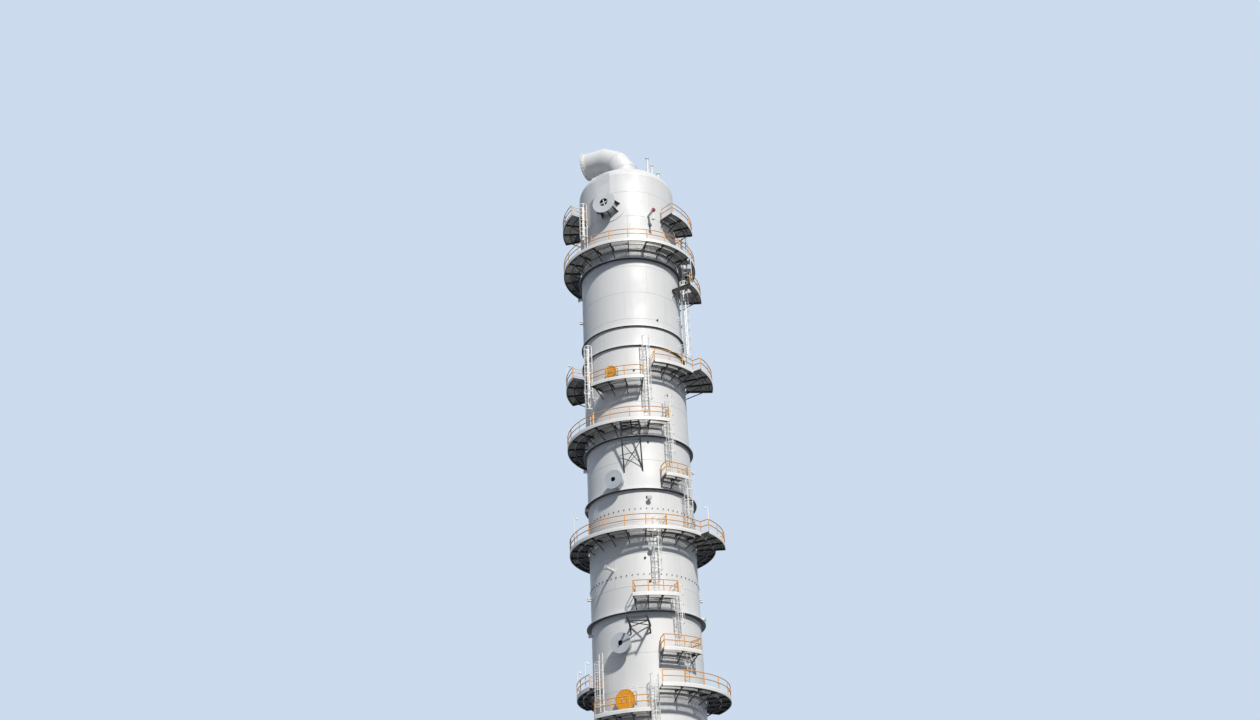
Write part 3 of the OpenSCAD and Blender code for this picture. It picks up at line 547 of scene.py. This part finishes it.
def grating_panels(floor):
    """Bars parallel to each panel's middle radius, at the distances t to its sides, and cross rods."""
    height, first, last, width, _, _ = floor
    count = math.ceil((last - first) / BRACKET_STEP)
    half = math.radians((last - first) / count / 2)
    middle = first + (last - first) * (np.arange(count) + 0.5) / count
    inner, outer = SHELL_R + DECK_GAP, SHELL_R + width - 8
    z = height + BEAM_H
    lift = np.array([0, 0, z + GRATING_H / 2])
    upright = np.array([[0.0, 0.0, GRATING_H / 2]])
    widest = outer * math.sin(half)
    t, angle = (v.ravel() for v in np.meshgrid(np.arange(-widest + 3, widest - 2, BAR_PITCH), middle))
    start = np.maximum(np.sqrt(inner ** 2 - t ** 2) + 1, np.abs(t) / math.tan(half) + 1)
    end = np.sqrt(outer ** 2 - t ** 2) - 1
    t, angle, start, end = (v[end - start > 3] for v in (t, angle, start, end))
    out, along, _ = frame_at(angle)
    centres = ((start + end) / 2)[:, None] * out + t[:, None] * along
    parts = bars_in(centres, out, along, (end - start) / 2, lift, upright, height, BAR_T / 2)
    d, angle = (v.ravel() for v in np.meshgrid(np.arange(inner + 8, outer - 2, ROD_PITCH), middle))
    out, along, _ = frame_at(angle)
    reach = np.minimum(d * math.tan(half) - 1.2, np.sqrt(outer ** 2 - d ** 2))
    parts += bars_in(d[:, None] * out, along, out, reach, np.array([0, 0, z + GRATING_H - 0.5]),
                     np.array([[0, 0, ROD_HALF]]), height, ROD_HALF)
    edges = np.unique(np.concatenate([middle - math.degrees(half) + 0.12, middle + math.degrees(half) - 0.12]))
    out, along, _ = frame_at(edges)
    parts += bars_in(out * (inner + outer) / 2, out, along, np.full(edges.size, (outer - inner) / 2), lift,
                     upright, height, 0.5)
    parts += [hoop(inner, inner + 1.2, z, z + GRATING_H, first + 0.15, last - 0.15),
              hoop(outer - 1.2, outer, z, z + GRATING_H, first + 0.15, last - 0.15)]
    for angle, floor_z, length in HATCHES:
        if floor_z == height and (first - 1 < angle < last + 1 or last > 359):
            out, along, _ = frame_at(angle)
            far = min(HATCH_START + length, outer - 1)
            for s in (-1, 1):
                parts.append(plates((HATCH_START + far) / 2 * out + s * HATCH_HALF * along + lift,
                                    out * (far - HATCH_START) / 2, along * 0.7, upright))
            parts.append(plates(HATCH_START * out + lift, out * 0.7, along * HATCH_HALF, upright))
    return parts


def grating_coat(tree):
    """Dull galvanised bars, with near-black painted shade on the faces that look down."""
    worn = use(tree, weather, Patch_Scale=5.0)
    sides = use(tree, facing)
    zinc = blend(tree, worn.outputs[1], (0.16, 0.165, 0.17), (0.10, 0.105, 0.11))
    # Faces that look down take near-black painted shade
    return {"Base Color": blend(tree, sides.outputs[0], zinc, (0.022, 0.023, 0.026)),
            "Normal": bump(tree, worn.outputs[2], 0.0004)}


grating_steel = finish_of("grating_steel", grating_coat, Roughness=0.6, Metallic=0.1)
for level, floors in FLOORS.items():
    piece(f"grating_bars_{level}", [part for floor in floors for part in grating_panels(floor)], grating_steel,
          "grating_steel", f"grating{'' if level == 'seven' else 's'}_{level}")

# Handrails and toe plates
# Two orange tubes on round posts that are bolted to the outer beam, bent inwards at the
# floors' ends, over a white toe plate.
RAIL_R, POST_R = 3.9, 4.3
RAIL_TOP, RAIL_MIDDLE = 113.7, 60.0
POST_W, TOE_T, TOE_H = 5.4, 1.6, 13.0
POST_STEP = 17.0
END_GAPS = {1: 21.0, 2: 169.0}
TOE_GAPS = {1: DECK_GAP, 2: NARROW_W}
BEND_R = 9.0


def guard_line(floor, inset=0.0):
    """Plan of a floor's guard as rows (radius, angle): in at the start, round, and in at the end."""
    _, first, last, width, start, end = floor
    r = SHELL_R + width - TOE_T - POST_W / 2 - inset
    turn = math.degrees(BEND_R / r)
    count = math.ceil((last - first) / 3)
    if last - first >= 360:
        return np.stack([np.full(count, r), np.linspace(first, last, count + 1)[:-1]], -1)
    arc = np.linspace(first + (turn if start > 0 else 0), last - (turn if end > 0 else 0), count + 1)
    rows = [np.stack([np.full(arc.size, r), arc], -1)]
    bend = np.radians([0.0, 22.5, 45.0, 67.5])
    for code, angle, sign in ((start, first, 1), (end, last, -1)):
        if code > 0:
            inner = SHELL_R + END_GAPS[code]
            corner = np.stack([r - BEND_R * (1 - np.sin(bend)), angle + sign * turn * (1 - np.cos(bend))], -1)
            leg = np.concatenate([[[inner, angle]], corner])
            rows = [leg, *rows] if sign > 0 else [*rows, leg[::-1]]
    return np.concatenate(rows)


def rail_coat(tree):
    """Orange safety paint, chalked in patches and rubbed at the grip."""
    worn = use(tree, weather, Patch_Scale=12.0)
    chalk = blend(tree, maths(tree, "MULTIPLY", worn.outputs[1], 0.6), (0.86, 0.42, 0.085), (0.73, 0.33, 0.065))
    return {"Base Color": blend(tree, maths(tree, "MULTIPLY", worn.outputs[0], 0.4), chalk, (0.86, 0.50, 0.16)),
            "Normal": bump(tree, worn.outputs[2], 0.0003)}


def white_coat(tree):
    """White gloss paint with faint dirt that has run down."""
    worn = use(tree, weather, Patch_Scale=10.0)
    dirty = blend(tree, maths(tree, "MULTIPLY", worn.outputs[0], 0.5), (0.90, 0.90, 0.89), (0.68, 0.68, 0.67))
    return {"Base Color": dirty, "Normal": bump(tree, worn.outputs[2], 0.0003)}


rail_paint = finish_of("orange_rail_paint", rail_coat, Roughness=0.42)
white_paint = finish_of("white_paint", white_coat, Roughness=0.45)

for level, floors in FLOORS.items():
    bars, toes = [], []
    for floor in floors:
        height, first, last, width, start, end = floor
        deck = height + BEAM_H + GRATING_H
        ring = last - first >= 360
        plan = guard_line(floor)
        for rise in (RAIL_TOP - RAIL_R, RAIL_MIDDLE):
            bars.append(tubes(polar(plan[:, 0], plan[:, 1], deck + rise), RAIL_R, 8, ring))
        r = SHELL_R + width - TOE_T - POST_W / 2
        half = 0 if ring else math.degrees(POST_W / 2 / r)
        at = steps_of((height, first + half, last - half, width, start, end), POST_STEP)
        if ring:
            at = np.linspace(0, 360, math.ceil(360 / POST_STEP) + 1)[:-1]
        feet = [polar(r, at, 0.0)]
        feet += [polar(SHELL_R + END_GAPS[code] + POST_R, angle, 0.0)[None]
                 for code, angle in ((start, first), (end, last)) if code > 0]
        feet = np.concatenate(feet)
        bars.append(turned(feet, np.broadcast_to(UP, feet.shape),
                           [(height + BEAM_H + 0.2, POST_R), (deck + RAIL_TOP - RAIL_R, POST_R)], 8))
        out, along, up = frame_at(at)
        bars.append(plates(feet[:len(at)] + [0, 0, height + BEAM_H + 1.2], out * 2.7, along * 6.5, up * 1.0))
        toe_in, toe_foot = SHELL_R + width - TOE_T, height + BEAM_H + 0.5
        toes.append(hoop(toe_in - 0.3, toe_in + TOE_T, toe_foot, height + BEAM_H + TOE_H, first, last))
        for code, angle, sign in ((start, first, 1), (end, last, -1)):
            if code > 0:
                inner = SHELL_R + TOE_GAPS[code]
                out, along, up = frame_at(angle)
                middle = out * (inner + toe_in) / 2 + along * sign * TOE_T / 2 + up * (toe_foot + TOE_H / 2)
                toes.append(plates(middle, out * (toe_in - inner) / 2, along * TOE_T / 2, up * (TOE_H / 2)))
    node = f"railing{'' if level == 'seven' else 's'}_{level}"
    piece(f"handrails_{level}", bars, rail_paint, "rail_paint", node)
    piece(f"toe_plates_{level}", toes, white_paint, "rail_paint", node)

# Ladders
# Flat stiles, round rungs and cages of flat hoops and straps, all in white paint.
# The ladder on the left of level four has a short cage of its own above the front floor.
dress(["ladders_lower", "ladders_middle", "ladders_upper"], white_paint)
CAGE_A, CAGE_AXIS_R, CAGE_R, CAGE_LOW, CAGE_HIGH = -48.0, 556.3, 36.8, 3110.0, 3465.0
HOOP_R, STRAP_R = 2.2, 1.8
out, along, up = frame_at(CAGE_A)
sweep = np.radians(np.linspace(-143, 143, 27))
arc = out * CAGE_AXIS_R + CAGE_R * (np.cos(sweep)[:, None] * out + np.sin(sweep)[:, None] * along)
levels = np.linspace(CAGE_LOW, CAGE_HIGH, 6)
straps = arc[3:-3:5]
piece("short_cage", [tubes(arc[None] + levels[:, None, None] * up, HOOP_R, 6),
                     tubes(np.stack([straps + CAGE_LOW * up, straps + CAGE_HIGH * up], 1), STRAP_R, 6)],
      white_paint, "ladder_paint")

# Ladder gates
# Where a ladder comes up through a floor, a short orange gate of three tubes and a crossed
# brace hangs between two posts beside the hatch.
GATE_H, GATE_FOOT, GATE_NEAR = 96.0, 18.0, SHELL_R + 22
GATE_RAIL_R, GATE_BRACE_R, GATE_POST_R = 2.0, 1.3, 2.4


def gate(angle, deck, far):
    """A frame in the upright plane through the axis: two posts, three rails and a cross between them."""
    near, low, high = GATE_NEAR, deck + GATE_FOOT, deck + GATE_H

    def rod(r0, z0, r1, z1):
        return polar([r0, r1], angle, [z0, z1])

    rails = [rod(near, z, far, z) for z in (high, low, (low + high) / 2)]
    braces = [rod(near, low, far, high), rod(near, high, far, low)]
    posts = [rod(r, deck - 3, r, high + 6) for r in (near, far)]
    return [tubes(np.stack(rails), GATE_RAIL_R), tubes(np.stack(braces), GATE_BRACE_R, 6),
            tubes(np.stack(posts), GATE_POST_R)]


GATES = [
    # angle, deck of the floor, radius of the far post
    (57.6, 1874, 640), (61.0, 2454, 640), (-53.5, 3264, 596), (45.5, 3509, 596), (25.5, 3964, 640),
    (19.0, 4556, 640), (46.4, 4556, 640), (45.5, 5074, 596), (26.4, 5584, 640), (17.4, 6175, 640),
    (-62.4, 6194, 640), (74.5, 7124, 680), (74.4, 7477, 640), (-57.2, 7984, 640), (83.6, 7874, 640),
]
gate_paint = paint("gate_paint", 16.0, (0.86, 0.42, 0.03), (0.70, 0.31, 0.03), Roughness=0.42)
piece("ladder_gates", [part for row in GATES for part in gate(*row)], gate_paint, "rail_paint")

# Lamp poles
# White poles are clamped to the guard posts and carry a lamp that leans out over the floor.
POLES = [
    # angle, deck, height of the pole, width of the floor
    (-68, 4556, 262, 176), (53, 4556, 235, 262), (-90, 6194, 290, 176), (-86, 3264, 225, 142),
    (-60, 3264, 232, 142), (110, 4556, 250, 176), (180, 4556, 250, 176), (150, 7477, 240, 176),
    (-150, 7477, 240, 176), (80, 1874, 235, 176), (-120, 5584, 250, 176), (112, 3192, 235, 214),
    (61, 7124, 300, 214),
]
POLE_R, POLE_INSET = 3.4, 9.8
LAMP = [(-9, 3), (-7, 6), (-2, 8), (5, 10.5), (7, 10.5)]
poles, lamps = [], []
for angle, deck, tall, width in POLES:
    r = SHELL_R + width - POLE_INSET
    top = deck + tall
    out, along, up = frame_at(angle)
    poles.append(tubes(polar([r, r, r - 3, r - 12, r - 24], angle, [deck - 3, top - 14, top - 5, top, top + 1]),
                       POLE_R, 8, False, along))
    lamps.append(turned(out * (r - 26) + up * (top - 6), -0.35 * out - 0.94 * up, LAMP, 12))
    lamps.append(plates(out * (r + 3) + up * (deck + 80), out * 5, along * 4, up * 5))
piece("lamp_poles", poles + lamps, white_paint, "ladder_paint")

# Pipe supports
# Two brackets of beams and struts under the front floors wait for the pipework, in dark
# shop primer. Round ties cross between the struts of the upper one.
# One near-black coat: the supports' own primer, and painted shade on the trunnion gussets and in the bores
primer_and_shade = paint("dark_primer_and_shade", 9.0, (0.020, 0.022, 0.026), (0.040, 0.043, 0.048), Roughness=0.6)
dress(["pipe_support_lower", "pipe_support_upper"], primer_and_shade)
SUPPORT_A, STRUT_ASIDE, TIE_R = -6.0, 82.0, 3.6
strut_top, strut_foot = np.array([626.0, 5550.0]), np.array([465.0, 5135.0])
out, along, up = frame_at(SUPPORT_A)


def on_strut(side, part):
    """The point at a part of the way down the left (-1) or right (1) strut of the upper pipe support."""
    r, z = strut_top + part * (strut_foot - strut_top)
    return r * out + STRUT_ASIDE * side * along + z * up


ties = [(-1, 0.40, 1, 0.88), (1, 0.40, -1, 0.88), (-1, 0.36, 1, 0.36)]
piece("support_cross_ties", [tubes(np.stack([on_strut(a, f), on_strut(b, g)])[None], TIE_R, 8)
                             for a, f, b, g in ties], primer_and_shade, "ring_paint")

# Lifting trunnions
# A trunnion is a thick pipe on a round pad with eight gussets. A disc with a keeper plate
# closes its end, and a cross of stiffeners shows in the disc's hole.
TRUNNIONS = (-22.0, 158.0)
TRUNNION_Z = 7979.0
DISC_X = SHELL_R + 110
PAD_R, BORE_R = 166.0, 75.5
GUSSET_FOOT, GUSSET_HEAD, GUSSET_HALF = (85.0, 128.0), 92.0, 2.0
CROSS_REACH, CROSS_HALF = 44.0, 3.2
dress(["lifting_pads"], shell_paint)
# A blue grey that stands in for the shade on the side nozzles' discs and the blanks
disc_painted_shade = paint("disc_painted_shade", 11.0, (0.50, 0.54, 0.59), (0.43, 0.47, 0.52), Roughness=0.55, Metallic=0.05)
# A pale blue grey that stands in for the shade on the trunnions' discs and keeper plates
trunnion_painted_shade = paint("trunnion_painted_shade", 8.0, (0.68, 0.70, 0.73), (0.58, 0.61, 0.66),
                       Roughness=0.55, Metallic=0.05)
dress(["lifting_trunnions"], trunnion_painted_shade)
gussets, crosses, shade_discs, pad_welds = [], [], [], []
for angle in TRUNNIONS:
    out, along, up = frame_at(angle)
    lift = up * TRUNNION_Z
    spread = np.radians(np.arange(8) * 45.0 + 12.0)
    ray = np.cos(spread)[:, None] * along + np.sin(spread)[:, None] * up
    square = -np.sin(spread)[:, None] * along + np.cos(spread)[:, None] * up
    on_shell = [np.sqrt(SHELL_R ** 2 - (foot * np.cos(spread)) ** 2) - 2 for foot in GUSSET_FOOT]
    x = np.stack([*on_shell, np.full(8, DISC_X - 1.0), np.full(8, DISC_X - 1.0)], -1)
    reach = np.array([*GUSSET_FOOT, GUSSET_HEAD, GUSSET_FOOT[0]])
    outline = lift + x[..., None] * out + reach[:, None] * ray[:, None]
    thick = GUSSET_HALF * square[:, None]
    gussets.append(loft(np.stack([outline - thick, outline + thick], 1)))
    hub = lift + out * (DISC_X - 6)
    crosses += [plates(hub, out * 8, a * CROSS_REACH, b * CROSS_HALF)
                for a, b in ((ray[0], square[0]), (square[0], ray[0]))]
    # A near-black disc set inside the trunnion's bore is painted shade in the hole
    shade_discs.append(turned(lift + out * (DISC_X - 42), out, [(0, BORE_R), (4, BORE_R)]))
    u = np.radians(np.arange(72) * 5.0)
    aside = np.degrees(np.arcsin(PAD_R * np.cos(u) / (SHELL_R + 3)))
    rim = lift + polar(SHELL_R + 3, angle + aside, PAD_R * np.sin(u))
    pad_welds.append(tubes(rim, 2.6, 6, True, out))
# The gussets take the near-black coat as painted shade
piece("trunnion_gussets", gussets, primer_and_shade, "shell_paint")
piece("trunnion_crosses", crosses, white_paint, "shell_paint")
piece("trunnion_pad_welds", pad_welds, bead_paint, "shell_paint")

# Vapour outlet and vents
# The vapour line leaves the head through a mitred bend of four pieces with a big welding
# neck flange and its stud bolts. The vents end in small flanges.
OUTLET_A, OUTLET_R, OUTLET_Z, BEND_AXIS_R = -112.0, 130.0, 8935.0, 300.0
OUTLET_END, OUTLET_FLANGE_R, OUTLET_BOLT_R, OUTLET_T = 440.0, 150.0, 140.5, 5.0
MITRES = (15.0, 45.0, 75.0)
# Angle, distance from the axis and height above the head's seam
VENTS = [(45, 330, 365), (54.5, 340, 295.7), (66, 370, 230), (150, 250, 328.5)]
dress(["vent_pipes"], shell_paint)
out, along, up = frame_at(OUTLET_A)
u = np.radians(np.arange(96) * 3.75)
outlet_foot = TANGENT_Z + HEAD_DEPTH * math.sqrt(1 - (OUTLET_R / SHELL_R) ** 2) - 4


def mitre_ring(radius, x, z, tilt, stretch=1.0):
    """The pipe's outline in a cut plane: radius (sin u * along + stretch cos u * down the slant)."""
    slant = math.cos(math.radians(tilt)) * out - math.sin(math.radians(tilt)) * up
    return x * out + z * up + radius * (np.sin(u)[:, None] * along + stretch * np.cos(u)[:, None] * slant)


def mitred_pipe(radius):
    """Rings at the foot, at the three cuts and at the open end."""
    stretch = 1 / math.cos(math.radians(MITRES[0]))
    cuts = [mitre_ring(radius, BEND_AXIS_R * (1 - stretch * math.cos(math.radians(tilt))),
                       OUTLET_Z - BEND_AXIS_R * (1 - stretch * math.sin(math.radians(tilt))), tilt, stretch)
            for tilt in MITRES]
    return [mitre_ring(radius, 0, outlet_foot, 0), *cuts, mitre_ring(radius, OUTLET_END, OUTLET_Z, 90)]


skin, bore = mitred_pipe(OUTLET_R), mitred_pipe(OUTLET_R - OUTLET_T)
lip = OUTLET_FLANGE_R - OUTLET_R
flange = [(-44, 0), (-44, 1), (-14, 8), (-12, lip), (0, lip), (0, 0)]
flange = [(OUTLET_END + x, OUTLET_R + r - (0.2 if r == 0 else 0)) for x, r in flange]
vapour_line = piece("vapour_line", [loft(np.stack(skin + bore[::-1])[None], True),
                                    turned(up * OUTLET_Z, out, flange, 96, True)],
                    shell_paint, "shell_paint", "vapour_outlet")
vapour_line.data.set_sharp_from_angle(angle=math.radians(20))
piece("outlet_welds", [tubes(ring, 2.2, 6, True, guide)
                       for ring, guide in zip(skin[:4], (up, up, out, out))], bead_paint, "nozzle_paint")


def bolt_circle(centre, axis, radius, count, size, back, front):
    """Stud bolts round an axis: a rod from back to front with a hexagonal nut at each end."""
    guide = np.cross(axis, UP)
    u = (np.arange(count) + 0.5) * 2 * np.pi / count
    spots = centre + radius * (np.cos(u)[:, None] * guide + np.sin(u)[:, None] * np.cross(guide, axis))
    axes = np.broadcast_to(axis, spots.shape)
    nut = 0.9 * size
    return [turned(spots, axes, [(back - 2 * size, size / 2), (front + 2 * size, size / 2)], 6),
            turned(spots, axes, [(back - nut, size), (back, size)], 6),
            turned(spots, axes, [(front, size), (front + nut, size)], 6)]


vent_tops = np.concatenate([polar(r, a, TANGENT_Z + h)[None] for a, r, h in VENTS])
piece("vent_flanges", [turned(vent_tops, np.broadcast_to(UP, vent_tops.shape),
                              [(-6, 11.5), (-6, 19), (-0.5, 19), (0.5, 18), (5, 18), (6, 16)], 24)],
      shell_paint, "nozzle_paint")
outlet_bolts = bolt_circle(up * OUTLET_Z, out, OUTLET_BOLT_R, 24, 4.2, OUTLET_END - 12, OUTLET_END)
piece("outlet_bolts", outlet_bolts, bolt_steel, "nozzle_paint")

# Nozzles
# Large side nozzles end in thick blank discs with one open hole; small ones have flanges
# that are shut with blanks, the top one with a red plastic cap, until the pipework is joined.
SIDE_END = SHELL_R + 96
SIDE_BORE_R = 56.0
STUB_REACH = (40.0, 120.0)
DROP_R, DROP_LENGTH = 9.0, 92.0
# Angle and height of each, and for a stub which of the two reaches it has
SIDE_NOZZLES = [(-24, 5052), (-23, 3582), (158, 5052)]
STUBS = [(26, 7872, 1), (84, 7528, 0), (-33, 4251, 1), (9, 4870, 0), (8, 4400, 0), (84, 3900, 0),
         (-95, 7233, 0), (140, 5860, 1), (-140, 4251, 1), (100, 1650, 0)]
BOSSES = [(37.4, 5927), (-0.3, 6149), (11.2, 5421), (7.0, 4890), (2.0, 4330), (6.0, 4120),
          (-8, 2800), (30, 6700), (27, 7755), (-130, 6300), (160, 3300), (200, 6900)]
dress(["side_nozzles"], disc_painted_shade)
dress(["manways", "small_nozzles"], shell_paint)
for angle, height in SIDE_NOZZLES:
    out, along, up = frame_at(angle)
    # A near-black disc inside each side nozzle's hole is painted shade
    shade_discs.append(turned(out * (SIDE_END - 30) + up * height, out, [(0, SIDE_BORE_R), (4, SIDE_BORE_R)]))
piece("painted_shade_discs", shade_discs, primer_and_shade, "nozzle_paint")

caps, flange_bolts = [], []
for angle, height, long in STUBS:
    out, along, up = frame_at(angle)
    end = SHELL_R + STUB_REACH[long]
    caps.append(turned(out * end + up * height, out, [(0.1, 21), (2.5, 21), (4, 19), (4.5, 10)], 24))
    flange_bolts += bolt_circle(up * height, out, 17.5, 4, 2.4, end - 5, end + 3)
red_plastic = paint("red_cap_plastic", 20.0, (0.30, 0.012, 0.014), (0.20, 0.012, 0.014), Roughness=0.4)
piece("top_nozzle_cap", caps[:1], red_plastic, "nozzle_paint")
piece("nozzle_blanks", caps[1:], disc_painted_shade, "nozzle_paint")
angle, height, long = STUBS[0]
out, along, up = frame_at(angle)
drop_foot = out * (SHELL_R + STUB_REACH[long] - 16) + up * (height - 98)
drop_flange = [(-5, DROP_R + 0.2), (-5, DROP_R + 7), (0, DROP_R + 7), (0, DROP_R + 0.2)]
piece("drop_pipe", [tubes(np.stack([drop_foot, drop_foot + up * DROP_LENGTH]), DROP_R, 12),
                    turned(drop_foot, up, drop_flange, 24, True)],
      white_paint, "nozzle_paint")
bosses, boss_profile = [], [(0, 10), (3, 10), (4, 7), (14, 7), (15, 6)]
for angle, height in BOSSES:
    out, along, up = frame_at(angle)
    bosses.append(turned(out * (SHELL_R - 1) + up * height, out, boss_profile, 20))
piece("gauge_bosses", bosses, primer_and_shade, "nozzle_paint")

# Manways
# Each manway has a short neck, a bolted blind cover in orange, two handles and a davit that
# swings the cover aside.
COVER_X, COVER_T, COVER_LIP = SHELL_R + 42, 9.0, 15.0
DAVIT_R, HOOK_R, GRIP_R = 3.0, 1.8, 2.6
# Angle, height and radius of the neck
MANWAYS = [(-24.5, 6146, 43), (-22.5, 3118, 73), (-100, 5699, 43), (120, 4671, 43), (-20, 1389, 73)]
cover_paint = paint("orange_cover_paint", 14.0, (0.86, 0.37, 0.012), (0.74, 0.30, 0.012), Roughness=0.45)
dress(["manway_covers"], cover_paint)
davits = []
for angle, height, neck in MANWAYS:
    out, along, up = frame_at(angle)
    hub = up * height
    face = COVER_X + COVER_T
    rim = neck + COVER_LIP
    flange_bolts += bolt_circle(hub, out, rim - 6.5, 16, 3.0, COVER_X - 9, face)
    hinge = rim + 12.0
    x, y, z = np.array([
        (COVER_X - 22, hinge, -12), (COVER_X - 22, hinge, rim + 6), (COVER_X - 20, hinge - 3, rim + 14),
        (COVER_X - 10, hinge - 16, rim + 18), (COVER_X + 6, 8, rim + 18), (COVER_X + 6, 0, rim + 18),
    ]).T[..., None]
    davits.append(tubes(hub + (x * out + y * along + z * up), DAVIT_R, 8, False, out))
    hook = out * (COVER_X + 6) + up * np.array([[rim + 21], [rim + 8], [rim - 4]])
    davits.append(tubes(hub + hook, HOOK_R))
    davits.append(plates(hub + out * (COVER_X - 22) + along * (hinge - 6) - up * 4, out * 3, along * 8, up * 3))
    for side in (-1, 1):
        grip = np.array([(-1, -13), (9, -13), (12, -10), (12, 10), (9, 13), (-1, 13)])
        path = (face + grip[:, :1]) * out + grip[:, 1:] * up
        davits.append(tubes(hub + path + side * 0.3 * neck * along, GRIP_R, 6))
piece("flange_bolts", flange_bolts, bolt_steel, "nozzle_paint")
piece("manway_davits", davits, white_paint, "cover_paint")

# Studs and lugs
# Rows of short studs hold the insulation that comes later, and white guide lugs stand down
# both sides of the shell for the piping.
STUD_ROWS, STUD_STEP = (4784, 4186, 2120, 1500), 6.0
LUGS = [(-80, 6894), (-82, 5336), (-80, 4955), (-78, 4103), (-78, 3779), (98, 6894), (98, 5336), (98, 4103)]
studs = []
for height in STUD_ROWS:
    angle = np.arange(0, 360, STUD_STEP)
    out, along, up = frame_at(angle)
    studs.append(plates(out * (SHELL_R + 3) + up * height, out * 4, along * 3, up * 4.5))
piece("insulation_studs", studs, primer_and_shade, "shell_paint")
lugs = []
for angle, height in LUGS:
    out, along, up = frame_at(angle)
    middle = out * (SHELL_R + 17) + up * height
    lugs += [plates(middle + s * 9 * up, out * 18, along * 14, up * 1.5) for s in (-1, 1)]
    lugs.append(plates(middle, out * 18, along * 1.5, up * 9))
    lugs.append(turned(middle + out * 11, up, [(-14, 9), (14, 9)], 16))
piece("guide_lugs", lugs, white_paint, "ladder_paint")
